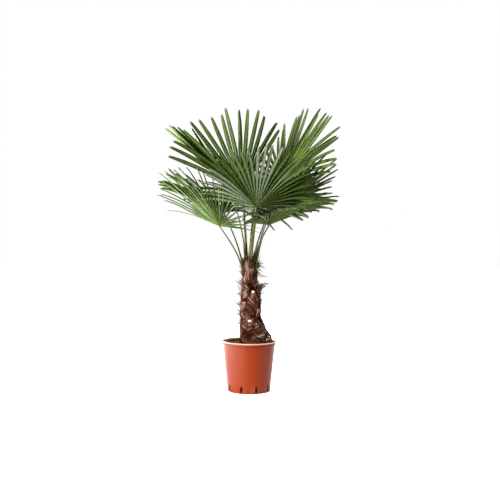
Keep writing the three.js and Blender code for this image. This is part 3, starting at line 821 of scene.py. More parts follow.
def fibre_mat():
    """Fibre wound round the trunk in crossing bundles, upright on the neck and thinner over the mound."""
    rng = np.random.default_rng(11)
    z = rng.uniform(TRUNK_FOOT + 6, TRUNK_TOP - 2, BUNDLE_COUNT)
    azimuth = rng.uniform(0, 2 * math.pi, BUNDLE_COUNT)
    keep = rng.uniform(0, 1, BUNDLE_COUNT) > mound_share(azimuth, z) * 0.85
    z, azimuth = z[keep], azimuth[keep]
    neck = np.clip((z - NECK_Z + 15) / 30, 0, 1)
    steep = lerp(rng.uniform(*BUNDLE_SLANTS, len(z)), rng.uniform(*NECK_SLANTS, len(z)), neck)
    slant = rng.choice([-1, 1], len(z)) * np.radians(steep)
    length = rng.uniform(*BUNDLE_LENGTHS, len(z)) * lerp(1, 1.3, neck)
    tones = fibre_tones(azimuth, z, rng, -0.05, 0.65)
    depth = rng.uniform(*BUNDLE_DEPTHS, len(z))
    bend = rng.uniform(-BUNDLE_BEND, BUNDLE_BEND, len(z))
    z, azimuth, neck, slant, length, tones, depth, bend = (
        np.repeat(row, BUNDLE_STRANDS) for row in (z, azimuth, neck, slant, length, tones, depth, bend))
    count = len(z)
    beside = rng.normal(0, BUNDLE_HALF_WIDTH, count)
    z = z - beside * np.sin(slant) + rng.normal(0, 4, count)
    azimuth = azimuth + beside * np.cos(slant) / MEAN_RADIUS
    slant = slant + rng.normal(0, 0.09, count)
    length = length * rng.uniform(0.7, 1.15, count)
    share = np.linspace(-0.5, 0.5, BUNDLE_POINTS)[None, :]
    bend = (bend + rng.normal(0, 0.08, count))[:, None]
    rise = length[:, None] * np.cos(slant)[:, None] * share
    round_trunk = length[:, None] * (np.sin(slant)[:, None] * share + bend * (share ** 2 - 0.08))
    heights = np.clip(z[:, None] + rise, TRUNK_FOOT + 2, TRUNK_TOP + 12)
    turns = azimuth[:, None] + round_trunk / MEAN_RADIUS
    thick = lerp(1, 0.45, neck)[:, None]
    out = (depth + rng.uniform(0, 0.8, count))[:, None]
    out = out + rng.uniform(0, STRAND_BOW, count)[:, None] * np.cos(share * math.pi)
    loose = (rng.uniform(0, 1, count) < LOOSE_ODDS)[:, None] * rng.uniform(*LOOSE_ENDS, count)[:, None]
    out = out * thick + loose * np.clip(share + 0.1, 0, 1) ** 1.5 * 2.2
    over_top = np.clip(heights - TRUNK_TOP, 0, 60)
    routes = trunk_point(turns, np.minimum(heights, TRUNK_TOP), out - over_top * 0.5)
    routes[..., 2] += over_top
    own = rng.uniform(0, 1, count) < OWN_TONE_ODDS
    tones = np.where(own, fibre_tones(azimuth, z, rng), tones)
    strands("fibre_mat", routes, rng.uniform(*STRAND_WIDTHS, count), tones)


# Where loose fibre stands out from the trunk: azimuth, height, how many, how long, how steeply it rises
TUFTS = [
    (-14, 493, 30, 44, 0.3), (8, 477, 22, 40, 0.15), (-24, 567, 9, 36, 0.8), (4, 582, 10, 44, 0.4),
    (10, 567, 10, 46, -0.35), (-8, 427, 12, 28, 0.6), (180, 573, 40, 30, 0.9), (192, 507, 46, 38, 0.9),
    (172, 457, 50, 40, 0.8), (186, 407, 54, 44, 0.6), (176, 357, 60, 44, 0.5), (190, 317, 44, 36, 0.4),
    (200, 607, 22, 36, 1.3), (-90, 447, 16, 20, 0.5), (80, 507, 30, 44, 0.5), (110, 407, 24, 36, 0.4),
    (60, 337, 20, 30, 0.4), (-60, 527, 18, 26, 0.9), (130, 567, 24, 40, 0.9),
]
# Stout strands that stand clear: azimuth, height, reach outwards, rise, curl
STRAYS = [
    (-4, 585, 38, 22, 8), (-14, 595, 22, 52, -4), (4, 581, 46, 4, 10), (8, 573, 60, -30, -14),
    (2, 579, 52, -12, 12), (-20, 589, 30, 34, 6), (10, 587, 32, 14, -8), (-6, 477, 50, 34, 10),
    (2, 473, 42, 18, 12), (-14, 487, 40, 40, -4), (6, 481, 54, 26, 16), (-2, 491, 34, 10, 10),
    (-10, 469, 30, 30, 8), (0, 412, 16, 24, 3), (-6, 405, 14, 14, 2), (186, 619, 26, 34, 2),
    (180, 597, 14, 30, -2), (176, 607, 10, 26, 3), (190, 459, 12, 10, 2), (184, 443, 10, 16, 2),
    (186, 359, 10, 8, 2), (182, 500, 36, 26, 3), (176, 476, 32, 34, -2), (188, 450, 30, 10, 4),
    (180, 404, 34, 14, 3), (184, 376, 40, 22, 4), (176, 352, 34, 34, -3), (182, 330, 36, -8, 4),
    (178, 314, 32, 20, 3), (184, 540, 26, 34, 3), (75, 567, 34, 30, 6), (100, 547, 28, 22, 8),
    (84, 477, 36, 20, 8), (120, 487, 30, 18, 4), (60, 587, 26, 34, 4), (140, 587, 24, 36, 4),
    (-70, 603, 8, 40, 2), (-110, 607, 10, 44, -2),
]
# Pale strands that lie across the trunk: from azimuth and height to azimuth and height, and width
PALE_STRANDS = [
    (-110, 450, -62, 410, 4.2), (-112, 292, -82, 306, 3.6), (-166, 464, -116, 471, 3.2),
    (-112, 530, -106, 574, 3.6), (-70, 300, -40, 322, 3), (-58, 266, -36, 258, 4),
    (-150, 372, -128, 344, 2.8), (100, 420, 140, 460, 3.4), (-128, 515, -120, 585, 4.6),
    (-100, 545, -98, 600, 2.8), (60, 380, 96, 350, 3.2), (20, 500, 60, 470, 3), (150, 520, 120, 560, 3.2),
]
# How far a tuft spreads round the trunk, in radians, and up it
TUFT_SPREAD = 0.24
TUFT_HEIGHT = 14
SCATTERED_HAIRS = 420
SCATTERED_LENGTHS = (8, 20)
HAIR_WIDTHS = (0.8, 1.7)
HAIR_POINTS = 7
# Widths of a stout strand and of the finer ones beside it, and how much stouter they are on the right side
STOUT_WIDTHS = (4, 5.5)
FINE_WIDTHS = (1.7, 2.8)
STOUTER = 1.25
STOUTER_RIGHT = 1.5
STRAY_POINTS = 9


def loose_fibre():
    """Hairs that stand out from the trunk in tufts, with a thin scatter between them."""
    rng = np.random.default_rng(23)
    rows = []
    for azimuth, z, count, length, rise in TUFTS:
        for _ in range(count):
            rows.append((radians(azimuth) + rng.normal(0, TUFT_SPREAD), z + rng.normal(0, TUFT_HEIGHT),
                         length * rng.uniform(0.35, 1.1), rise + rng.normal(0, 0.35)))
    for _ in range(SCATTERED_HAIRS):
        rows.append((rng.uniform(0, 2 * math.pi), rng.uniform(TRUNK_FOOT + 40, TRUNK_TOP),
                     rng.uniform(*SCATTERED_LENGTHS), rng.uniform(-0.4, 1.1)))
    azimuth, z, length, rise = np.array(rows).T
    count = len(rows)
    share = np.linspace(0, 1, HAIR_POINTS)[None, :, None]
    start = trunk_point(azimuth, z, 0.5)[:, None]
    outward = np.stack([np.cos(azimuth), np.sin(azimuth), 0 * azimuth], -1)[:, None]
    sideways = np.stack([-np.sin(azimuth), np.cos(azimuth), 0 * azimuth], -1)[:, None]
    sway = rng.normal(0, 0.4, count)[:, None, None]
    curl = rng.normal(0, 0.5, count)[:, None, None]
    heading = units(outward + sideways * sway + UP * rise[:, None, None])
    reach = length[:, None, None]
    routes = (start + heading * reach * share + sideways * curl * reach * share ** 2 * 0.5
              - UP * reach * share ** 2.2 * rng.uniform(-0.25, 0.5, count)[:, None, None])
    tones = rng.choice(4, count, p=HAIR_ODDS)
    pale_side = np.cos(azimuth - math.pi) > 0.85
    tones = np.where(pale_side, rng.choice(4, count, p=PALE_HAIR_ODDS), tones)
    strands("loose_fibre", routes, rng.uniform(*HAIR_WIDTHS, count), tones)


def stray_strands():
    """The stout strands, each with two finer ones beside it, and the pale ones across the trunk."""
    rng = np.random.default_rng(29)
    share = np.linspace(0, 1, STRAY_POINTS)[:, None]
    routes, widths = [], []
    for azimuth, z, out, rise, curl in STRAYS:
        for fine in range(3):
            turn = radians(azimuth + fine * rng.uniform(-14, 14))
            size = 1 if fine == 0 else rng.uniform(0.5, 0.95)
            outward, sideways = polar(1, turn), polar(1, turn + math.pi / 2)
            start = trunk_point(turn, min(z, TRUNK_TOP - 4) + fine * rng.uniform(-8, 8), -2.0)
            start = start + UP * max(0, z - TRUNK_TOP + 4)
            bow = np.sin(share * math.pi)
            routes.append(start + outward * out * size * share + UP * rise * size * share ** 1.5
                          + UP * curl * bow + sideways * rng.uniform(-8, 8) * share ** 2)
            stouter = STOUTER_RIGHT if -30 < azimuth < 30 else STOUTER
            widths.append(rng.uniform(*(FINE_WIDTHS if fine else STOUT_WIDTHS)) * stouter)
    tones = list(rng.choice(3, len(routes), p=STRAY_ODDS))
    for first_azimuth, first_z, last_azimuth, last_z, width in PALE_STRANDS:
        turns = radians(lerp(first_azimuth, last_azimuth, share[:, 0]))
        out = 2 + 4 * np.sin(share[:, 0] * math.pi)
        routes.append(trunk_point(turns, lerp(first_z, last_z, share[:, 0]), out))
        widths.append(width)
        tones.append(STRAW)
    strands("stray_strands", np.array(routes), np.array(widths), np.array(tones))


# Cut leaf bases

# Those that are still pale at the cut, counted from 0
FRESH_CUTS = (1, 9, 2, 8, 10)


def make_leaf_base(number):
    """A broad dry stalk end that clasps the trunk and leans out to its square cut."""
    azimuth = radians(LEAF_BASE_START + number * LEAF_BASE_TURN)
    foot = lerp(LEAF_BASE_FIRST_Z, LEAF_BASE_LAST_Z, number / (LEAF_BASE_COUNT - 1))
    outward = polar(1, azimuth)
    sideways = np.array([-outward[1], outward[0], 0])
    ridges = np.random.default_rng(50 + number).uniform(0, 6.3, 2)
    cut_width, cut_finish = (0.58, CUT_END) if number in FRESH_CUTS else (0.78, CUT_WORN)

    def place(turn, share, out):
        z = foot + share * LEAF_BASE_LENGTH
        middle = outward * (trunk_radius(azimuth, z) + LEAF_BASE_OUT * share ** 1.6 - 1) + UP * z
        middle[0] += trunk_centre_x(z)
        half = LEAF_BASE_WIDTH / 2 * lerp(1.2, cut_width, share ** 0.7)
        thick = LEAF_BASE_THICK / 2 * lerp(0.6, cut_width + 0.22, share)
        rough = (1 + 0.05 * math.sin(9 * turn + ridges[0])
                 + 0.04 * math.sin(14 * turn + 5 * share + ridges[1]))
        dome = 1.2 * (1 - out) * share
        slant = LEAF_BASE_SLANT * share ** 3 * math.sin(turn) * out
        return (middle + sideways * half * math.cos(turn) * out * rough
                + outward * thick * math.sin(turn) * out * rough + UP * (dome - slant))

    piece = column(f"leaf_stub_{number + 1:02d}", sides=28, rings=8, place=place,
                   finishes=[STUB_BROWN, cut_finish])
    smooth(piece, 45)
    finish_piece(piece, "cut_leaf_base", f"leaf_base_{number + 1:02d}")


# Soil

def crumb_shapes():
    """Plain lumps of twenty faces, copied for every crumb."""
    deselect()
    bpy.ops.mesh.primitive_ico_sphere_add(subdivisions=1, radius=1)
    ball = bpy.context.object
    points = np.array([v.co[:] for v in ball.data.vertices])
    faces = np.array([p.vertices[:] for p in ball.data.polygons])
    bpy.data.objects.remove(ball)
    return points, faces


# The odds of a dark crumb, an olive-brown one and a bark chip
SOIL_ODDS = (0.5, 0.4, 0.1)
WALL_ODDS = (0.62, 0.34, 0.04)
MOUND_ODDS = (0.74, 0.22, 0.04)


def scatter(name, places, sizes, rng, odds):
    """Crumbs of the given sizes in one piece."""
    points, faces = crumb_shapes()
    count = len(places)
    rough = rng.uniform(0.65, 1.2, (count, len(points), 1))
    turn = rng.uniform(0, 2 * math.pi, count)
    squash = rng.uniform(0.45, 1, (count, 1, 3))
    local = points[None] * rough * squash * sizes[:, None, None]
    c, s = np.cos(turn)[:, None], np.sin(turn)[:, None]
    x, y = local[..., 0], local[..., 1]
    local = np.stack([x * c - y * s, x * s + y * c, local[..., 2]], -1)
    joined = (local + places[:, None]).reshape(-1, 3)
    numbers = (faces[None] + (np.arange(count) * len(points))[:, None, None]).reshape(-1, 3)
    tones = np.repeat(rng.choice(len(CRUMBS), count, p=odds), len(faces))
    finish_piece(joined_mesh(name, joined, [numbers], CRUMBS, [tones]), "potting_soil")


def soil_height(x, y):
    radius = np.hypot(x, y)
    waves = (np.sin(x / 11 + 1.3) * np.cos(y / 9) + np.sin(x / 5.1 + y / 6.3) * 0.5
             + np.sin(y / 3.7 - x / 4.4) * 0.3)
    return SOIL_TOP - SOIL_DIP * np.clip((radius - 103) / 16, 0, 1) + waves * 1.1


SOIL_RADIUS = POT_BAND_RADIUS - POT_WALL - 3.4
SOIL_RINGS = 26
CLEAR_OF_TRUNK = 46
# Metres above the ground, below which the filling only shows through the slots and is coloured near black as
# painted shade
SHADED_SOIL_TOP = 0.2
WALL_CLIMB = 12


def soil_places(radius, turn, lift):
    x, y = radius * np.cos(turn), radius * np.sin(turn)
    return np.stack([x, y, soil_height(x, y) + lift], -1)


def make_soil():
    """The filling: a plain body with a rough, uneven top that is inset ring by ring."""
    soil = unit_cylinder("soil_body", 96, "NGON")
    edit_chosen(soil, lambda face: face.normal.z > 0.9, of_faces=True)
    for _ in range(SOIL_RINGS):
        bpy.ops.mesh.inset(thickness=0.035, depth=0)
    bpy.ops.mesh.poke()
    bpy.ops.object.mode_set(mode="OBJECT")
    foot_radius = pot_wall_radius(5) - POT_WALL - 1
    for vertex in soil.data.vertices:
        x, y, z = vertex.co
        if z < 0.5:
            vertex.co = (x * foot_radius * MM, y * foot_radius * MM, (POT_FLOOR + 0.6) * MM)
        else:
            px, py = x * SOIL_RADIUS, y * SOIL_RADIUS
            vertex.co = (px * MM, py * MM, float(soil_height(px, py)) * MM)
    soil.data.materials.append(SOIL_DARK)
    soil.data.materials.append(SOIL_PAINTED_SHADE)
    # Painted shade on the low faces, which only show through the slots
    for face in soil.data.polygons:
        face.material_index = int(face.center.z < SHADED_SOIL_TOP)
    smooth(soil, 50)
    finish_piece(soil, "potting_soil", "soil")


def scatter_crumbs():
    """Crumbs over the soil, up the pot's wall and on the mound."""
    rng = np.random.default_rng(7)
    radius = np.sqrt(rng.uniform(CLEAR_OF_TRUNK ** 2, (SOIL_RADIUS - 4) ** 2, CRUMB_COUNT))
    turn = rng.uniform(0, 2 * math.pi, CRUMB_COUNT)
    sizes = rng.uniform(*CRUMB_SIZES, CRUMB_COUNT) * rng.uniform(0.7, 1.25, CRUMB_COUNT)
    scatter("soil_crumbs", soil_places(radius, turn, sizes * 0.25), sizes, rng, SOIL_ODDS)

    turn = rng.uniform(0, 2 * math.pi, WALL_CRUMB_COUNT)
    climb = rng.uniform(0, 1, WALL_CRUMB_COUNT)
    radius = SOIL_RADIUS - 1 - rng.uniform(0, 9, WALL_CRUMB_COUNT)
    sizes = rng.uniform(*WALL_CRUMB_SIZES, WALL_CRUMB_COUNT)
    scatter("wall_crumbs", soil_places(radius, turn, climb * WALL_CLIMB), sizes, rng, WALL_ODDS)

    spread = rng.normal(0, radians(MOUND_HALF_ANGLE) * 0.5, MOUND_CRUMB_COUNT)
    azimuth = radians(MOUND_AZIMUTH) + spread
    z = TRUNK_FOOT + rng.uniform(0, 1, MOUND_CRUMB_COUNT) ** 1.3 * MOUND_HEIGHT
    keep = mound_share(azimuth, z) > 0.12
    azimuth, z = azimuth[keep], z[keep]
    sizes = rng.uniform(*MOUND_CRUMB_SIZES, len(z))
    scatter("mound_crumbs", trunk_point(azimuth, z, 0.1 * sizes), sizes, rng, MOUND_ODDS)


# Fronds, by the same rule as the solids

def frond_axes(frond):
    towards = polar(1, radians(frond["lean_to"]))
    lean, roll = radians(frond["lean"]), radians(frond["roll"])
    along = towards * math.sin(lean) + UP * math.cos(lean)
    level = -towards * math.cos(lean) + UP * math.sin(lean)
    across = np.cross(along, level)
    normal = level * math.cos(roll) + across * math.sin(roll)
    side = -level * math.sin(roll) + across * math.cos(roll)
    hub = polar(frond["reach"], radians(frond["azimuth"]), frond["height"])
    return dict(hub=hub, along=along, normal=normal, side=side)


def blade_directions(frond, axes, angle):
    turn = radians(angle)
    cup = radians(frond["cup"] + frond["fold"] * (angle / SIDE_TAPER_SPREAD) ** 2)
    flat = axes["along"] * math.cos(turn) + axes["side"] * math.sin(turn)
    sideways = -axes["along"] * math.sin(turn) + axes["side"] * math.cos(turn)
    outwards = flat * math.cos(cup) + axes["normal"] * math.sin(cup)
    face = axes["normal"] * math.cos(cup) - flat * math.sin(cup)
    return outwards, sideways, face


def bow_of(frond, angle, distance):
    share = distance / frond["radius"]
    return frond["arch"] * math.sin(radians(angle)) ** 2 * 4 * share * (1 - share)


def frond_segments(frond):
    draw = seeded(frond["seed"])
    segments = []
    for i in range(round((frond["stop"] - frond["start"]) / SEGMENT_PITCH)):
        angle = frond["start"] + (i + 0.5) * SEGMENT_PITCH
        turn = (draw() - 0.5) * 2 * SPRAY_IN_PLANE
        lift = (draw() - 0.5) * 2 * SPRAY_LIFT
        share = angle / SIDE_TAPER_SPREAD
        taper = 1 - SIDE_TAPER * share ** 2 + frond["skew"] * share
        length = frond["radius"] * taper * (1 + (draw() - 0.5) * LENGTH_SPREAD)
        segments.append(dict(angle=angle, turn=turn, lift=lift, length=length))
    return segments


def split_of(frond, segment, reach):
    return min(SPLIT_SHARE * frond["radius"], 0.6 * segment["length"] * reach)


def segment_station(frond, axes, segment, split, distance):
    inner, _, _ = blade_directions(frond, axes, segment["angle"])
    outer, sideways, face = blade_directions(frond, axes, segment["angle"] + segment["turn"])
    free = max(0.0, distance - split)
    share = free / (frond["radius"] * (1 - SPLIT_SHARE))
    point = (axes["hub"] + inner * min(distance, split) + outer * free
             + axes["normal"] * free * math.sin(radians(segment["lift"]))
             + UP * (bow_of(frond, segment["angle"], distance) - frond["droop"] * share * share))
    return point, outer, sideways, face


def reach_in_solid(frond, axes, segment, corners):
    """How far the solid's segment reaches: its tip is one of the solid's corners. 0 where it has none."""
    for reach in REACHES:
        split = split_of(frond, segment, reach)
        tip, _, _, _ = segment_station(frond, axes, segment, split, segment["length"] * reach)
        if np.min(np.sum((corners - tip) ** 2, axis=1)) < 0.25:
            return reach
    return 0


# The backs of the two fans that show them, and the numbers of the light and dark back among a fan's finishes
BACKS = {"front": SAGE_BACKS, "front_left": LOW_SAGE_BACKS}
LIGHT_BACK = 4
DARK_BACK = 5
# Points across a leaflet, and rows along it, first up to its split from the others and then beyond
NOTCH_HALF = 0.62
CROSS = np.array([-1, -NOTCH_HALF, -0.3, 0, 0.3, NOTCH_HALF, 1])
FUSED = [0.015, 0.2, 0.4, 0.55, 0.7, 0.85, 1.0]
FREE = [0.1, 0.22, 0.34, 0.46, 0.58, 0.7, 0.8, 0.88, 0.94, 1.0]
# The flatter pleat of leaflets seen on edge, the odds of a hanging tip, and the shape of the tips
EDGE_PLEAT = 0.15
BENT_ODDS = 0.25
TIP_EXTRA = 5
TIP_NARROWING = 0.5
TIP_POWER = 3.2
NOTCH_DEPTHS = (7, 20)
CORNER_CUT = 6
# How far single leaflets stray from their rule: sideways, in degrees of twist, and downwards
SWAY = 7
TWIST = 20
HANG = 9


def turn_to_edge(frond, axes, segment):
    """The twist that brings a leaflet's edge to the front, so that it shows as a thin arc."""
    _, sideways, face = blade_directions(frond, axes, segment["angle"] + segment["turn"])
    twist = math.atan2(face[1], sideways[1])
    return (twist + math.pi / 2) % math.pi - math.pi / 2


def notched(t, notch):
    """How far a point across the tip stands back from the tip's two teeth."""
    beyond = abs(t) - NOTCH_HALF
    if beyond < 0:
        return notch * (1 - abs(t) / NOTCH_HALF)
    return CORNER_CUT * beyond / (1 - NOTCH_HALF)


def segment_rows(frond, axes, segment, reach, rng):
    """Rows of points across a leaflet from the hub to its notched tip, with the face's direction at each."""
    split = split_of(frond, segment, reach)
    length = segment["length"] * reach
    half_pitch = SEGMENT_PITCH / 2
    tan_half = math.tan(radians(half_pitch))
    sway = rng.uniform(-SWAY, SWAY)
    twist = radians(rng.uniform(-TWIST, TWIST))
    pleat = PLEAT
    if segment["angle"] < frond["edge_on"]:
        twist = twist * 0.5 + turn_to_edge(frond, axes, segment)
        pleat = EDGE_PLEAT
    bent = frond["bent"] * (rng.uniform() < BENT_ODDS) * frond["low"]
    hang = (rng.uniform(0, HANG) + rng.uniform(0.5, 1) * bent) * abs(math.sin(radians(segment["angle"])))
    notch = rng.uniform(*NOTCH_DEPTHS) * (0.5 + 0.5 * reach)
    length = length + TIP_EXTRA * reach
    rows, faces, shares = [], [], []
    parting = frond["parting"] * frond["radius"]
    for share in FUSED:
        distance = share * split
        slim = min(1, (parting + (distance - parting) * frond["widening"]) / distance)
        width = distance * tan_half * slim
        row, row_faces = [], []
        for t in CROSS:
            angle = segment["angle"] + t * half_pitch * slim
            outwards, _, face = blade_directions(frond, axes, angle)
            rise = PLEAT * width * (abs(t) - 0.5)
            row.append(axes["hub"] + outwards * distance + face * rise + UP * bow_of(frond, angle, distance))
            row_faces.append(face)
        rows.append(row)
        faces.append(row_faces)
        shares.append(distance / frond["radius"])
    for share in FREE:
        distance = lerp(split, length, share)
        point, outwards, sideways, face = segment_station(frond, axes, segment, split, distance)
        turn = twist * share ** 0.6
        across = sideways * math.cos(turn) + face * math.sin(turn)
        up = face * math.cos(turn) - sideways * math.sin(turn)
        point = point + across * sway * share ** 2 - UP * hang * share ** 3
        half = width * (1 - TIP_NARROWING * share ** TIP_POWER)
        row = []
        for t in CROSS:
            rise = pleat * half * (abs(t) - 0.5)
            back = notched(t, notch) if share == FREE[-1] else 0
            row.append(point + across * half * t + up * rise - outwards * back)
        rows.append(row)
        faces.append([up] * len(CROSS))
        shares.append(distance / frond["radius"])
    return np.array(rows), np.array(faces), np.array(shares)


def closed_strip(rows, faces, offset):
    """Upper and lower sheets of a leaflet with their edges closed, and the face numbers of each."""
    steps, cross, _ = rows.shape
    thick = np.full((steps, cross, 1), LEAF_THICK / 2)
    thick[:, 0] = thick[:, -1] = LEAF_THICK / 4
    points = np.concatenate([(rows + faces * thick).reshape(-1, 3), (rows - faces * thick).reshape(-1, 3)])
    upper = np.arange(steps * cross).reshape(steps, cross) + offset
    lower = upper + steps * cross
    top = np.stack([upper[:-1, :-1], upper[:-1, 1:], upper[1:, 1:], upper[1:, :-1]], -1).reshape(-1, 4)
    back = np.stack([lower[:-1, :-1], lower[1:, :-1], lower[1:, 1:], lower[:-1, 1:]], -1).reshape(-1, 4)
    edges = []
    for a, b, flip in ((upper[:, 0], lower[:, 0], True), (upper[:, -1], lower[:, -1], False),
                       (upper[0], lower[0], False), (upper[-1], lower[-1], True)):
        quad = np.stack([a[:-1], b[:-1], b[1:], a[1:]], -1)
        edges.append(quad[:, ::-1] if flip else quad)
    return points, top, back, np.concatenate(edges)


def back_finish(frond, angle, drawn):
    """The finish of a leaflet's back: as drawn, except where the fan has a pale or a dark side."""
    if angle > frond["pale_from"]:
        return frond["pale_cycle"][round(angle / SEGMENT_PITCH) % 5]
    if angle < frond["dark_to"] and drawn == LIGHT_BACK:
        return DARK_BACK
    return drawn


def leaflet_piece(name, frond, axes, leaflets, rng):
    """The leaflets of a fan in one piece: leaflets is a list of segments with their reach."""
    points, quads, quad_tones, along = [], [], [], []
    offset = 0
    for segment, reach in leaflets:
        top_tone = rng.choice(3, p=frond["tones"])
        back_tone = back_finish(frond, segment["angle"], 3 + rng.choice(3, p=frond["tones"]))
        if not reach:
            continue
        rows, faces, shares = segment_rows(frond, axes, segment, reach, rng)
        strip, top, back, edges = closed_strip(rows, faces, offset)
        points.append(strip)
        for sheet, tone in ((top, top_tone), (back, back_tone), (edges, back_tone)):
            quads.append(sheet)
            quad_tones.append(np.full(len(sheet), tone))
        place = np.stack(np.broadcast_arrays(((CROSS + 1) / 2)[None, :], shares[:, None]), -1).reshape(-1, 2)
        along.append(np.concatenate([place, place]))
        offset += len(strip)
    finishes = LEAF_TOPS + BACKS.get(frond["name"], GREEN_BACKS)
    piece = joined_mesh(name, np.concatenate(points), quads, finishes, quad_tones, np.concatenate(along))
    smooth(piece, 28)
    return piece


# Thin leaflets that hang below the front fan, in this script alone: angle and reach
HANGING = [
    (-118, 0.55), (-124, 0.78), (-131, 0.42), (-137, 0.38), (-145, 0.6), (-152, 0.32), (-159, 0.26),
    (-168, 0.22), (97, 0.3), (104, 0.34), (112, 0.28), (120, 0.25), (130, 0.22), (142, 0.2),
]
# How far the leaflets bow, as a share of the solids' bow
VISUAL_ARCH = 0.5


def make_fan(frond):
    axes = frond_axes(frond)
    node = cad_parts["blade_" + frond["name"]]
    corners = np.array([v.co[:] for v in node.data.vertices]) / MM
    rng = np.random.default_rng(100 + frond["seed"])
    leaflets = [(segment, reach_in_solid(frond, axes, segment, corners))
                for segment in frond_segments(frond)]
    shown = dict(frond, arch=frond["arch"] * VISUAL_ARCH)
    piece = leaflet_piece("fan_" + frond["name"], shown, axes, leaflets, rng)
    finish_piece(piece, "leaf_blade", "blade_" + frond["name"])
    if frond["name"] == "front":
        extra = [(dict(angle=angle, turn=0, lift=2, length=frond["radius"]), reach)
                 for angle, reach in HANGING]
        hanging = dict(shown, parting=0.24, widening=0.1, pale_from=180, tones=(0.3, 0, 0.7))
        piece = leaflet_piece("hanging_leaflets", hanging, axes, extra, rng)
        finish_piece(piece, "leaf_blade")
    make_hub(frond, axes)


HUB_RADIUS = 5.4
HUB_LENGTH = 8.4
HUB_STRETCH = 1.25


def make_hub(frond, axes):
    """The small raised crest where the stalk meets the blade."""
    def place(turn, share, out):
        level = math.sin(share * math.pi) ** 0.6
        radius = (HUB_RADIUS * level + 0.4) * out
        return (axes["hub"] + axes["normal"] * (share - 0.5) * HUB_LENGTH
                + (axes["along"] * math.cos(turn) * HUB_STRETCH + axes["side"] * math.sin(turn)) * radius)

    piece = column("hub_" + frond["name"], sides=20, rings=8, place=place, finishes=[STALK_PALE])
    turn_faces_out(piece)
    smooth(piece, 60)
    finish_piece(piece, "leaf_blade")


# Petioles

def petiole_curve(frond, axes):
    height = LOW_PETIOLE_Z if frond["low"] else HIGH_PETIOLE_Z
    radius = LOW_PETIOLE_RADIUS if frond["low"] else HIGH_PETIOLE_RADIUS
    foot = polar(radius, radians(frond["foot"]), height)
    foot[0] += trunk_centre_x(height)
    chord = axes["hub"] - foot
    span = np.linalg.norm(chord)
    chord = chord / span
    lower = foot + chord * span * 0.2 + UP * span * 0.22
    arrive = unit(chord * 0.65 + axes["along"] * 0.35)
    upper = axes["hub"] - arrive * span * 0.3
    return foot, lower, upper, axes["hub"]


def on_curve(curve, share):
    a, b, c, d = curve
    rest = 1 - share
    point = a * rest ** 3 + b * 3 * rest ** 2 * share + c * 3 * rest * share ** 2 + d * share ** 3
    along = (b - a) * rest ** 2 + (c - b) * 2 * rest * share + (d - c) * share ** 2
    return point, unit(along)


def stalk_axes(curve, axes, share):
    """A point on a stalk's curve, the way along it, and the directions of its side and of its face."""
    point, along = on_curve(curve, share)
    side = unit(np.cross(along, axes["normal"]))
    return point, along, side, np.cross(side, along)


def make_petiole(frond):
    """A stalk, flat above and rounded below."""
    axes = frond_axes(frond)
    curve = petiole_curve(frond, axes)
    widths = frond["stalk"]

    def place(turn, share, out):
        point, _, side, face = stalk_axes(curve, axes, share)
        half = lerp(*widths, share) / 2
        rise = math.sin(turn)
        channel = 0.8 if rise < 0 else 0.62
        return point + (side * half * math.cos(turn) - face * half * PETIOLE_FLATNESS * rise * channel) * out

    finish = STALK_PALE if frond["pale_stalk"] else STALK
    stalk = column("stalk_" + frond["name"], sides=14, rings=30, place=place, finishes=[finish])
    turn_faces_out(stalk)
    smooth(stalk, 50)
    finish_piece(stalk, "petiole", "petiole_" + frond["name"])
    make_teeth(frond["name"], axes, curve, widths)


TEETH_PER_EDGE = 34
TOOTH_LENGTH = 2.2
TOOTH_THICKNESS = 1.0
TOOTH_REACH = 1.3
TOOTH_LEAN = 1.5


def make_teeth(name, axes, curve, widths):
    """A row of small teeth on each edge of a stalk, each a pyramid that leans towards the fan."""
    points, triangles = [], []
    for k in range(TEETH_PER_EDGE):
        share = 0.16 + 0.76 * k / (TEETH_PER_EDGE - 1)
        point, along, side, face = stalk_axes(curve, axes, share)
        half = lerp(*widths, share) / 2
        for way in (-1, 1):
            root = point + side * half * 0.97 * way
            number = len(points)
            ahead, up = along * TOOTH_LENGTH / 2, face * TOOTH_THICKNESS / 2
            points += [root - ahead, root + ahead, root + up, root - up,
                       root + side * way * TOOTH_REACH + along * TOOTH_LEAN]
            tip = number + 4
            for a, b in ((0, 2), (2, 1), (1, 3), (3, 0)):
                triangles.append((number + a, number + b, tip) if way < 0 else (number + b, number + a, tip))
    teeth = joined_mesh("teeth_" + name, np.array(points), [np.array(triangles)], [STALK])
    finish_piece(teeth, "petiole")


SHEATH_POINTS = 7
SHEATH_START = -0.03
SHEATH_STAND_OFF = (5, 7.5)
# Some sheath fibre flares out from its stalk
FLARE_ODDS = 0.3
SHEATH_FLARE = 12


def head_fibre():
    """Old sheath fibre that clings to the stalks above the trunk's head."""
    rng = np.random.default_rng(31)
    routes, widths, heights = [], [], []
    for frond in FRONDS:
        axes = frond_axes(frond)
        curve = petiole_curve(frond, axes)
        count, top = frond["sheath"]
        for _ in range(count):
            start = rng.uniform(SHEATH_START, 0.35 * top)
            stop = start + rng.uniform(0.35, 1) * top
            turn = rng.uniform(0, 2 * math.pi)
            out = rng.uniform(*SHEATH_STAND_OFF)
            flare = rng.uniform(0, SHEATH_FLARE) * (rng.uniform() < FLARE_ODDS)
            route = []
            for share in np.linspace(start, stop, SHEATH_POINTS):
                point, _, side, face = stalk_axes(curve, axes, max(share, SHEATH_START))
                t = (share - start) / (stop - start)
                reach = out * (1 - 0.3 * t) + flare * t ** 2
                wound = turn + t * 0.5
                route.append(point + (side * math.cos(wound) + face * math.sin(wound)) * reach)
            routes.append(route)
            widths.append(rng.uniform(1.0, 3.0) if rng.uniform() < 0.5 else rng.uniform(0.5, 1.1))
            heights.append(route[0][2])
    routes, heights = np.array(routes), np.array(heights)
    tones = fibre_tones(np.arctan2(routes[:, 0, 1], routes[:, 0, 0]), heights, rng, -0.1)
    strands("head_fibre", routes, np.array(widths), tones)


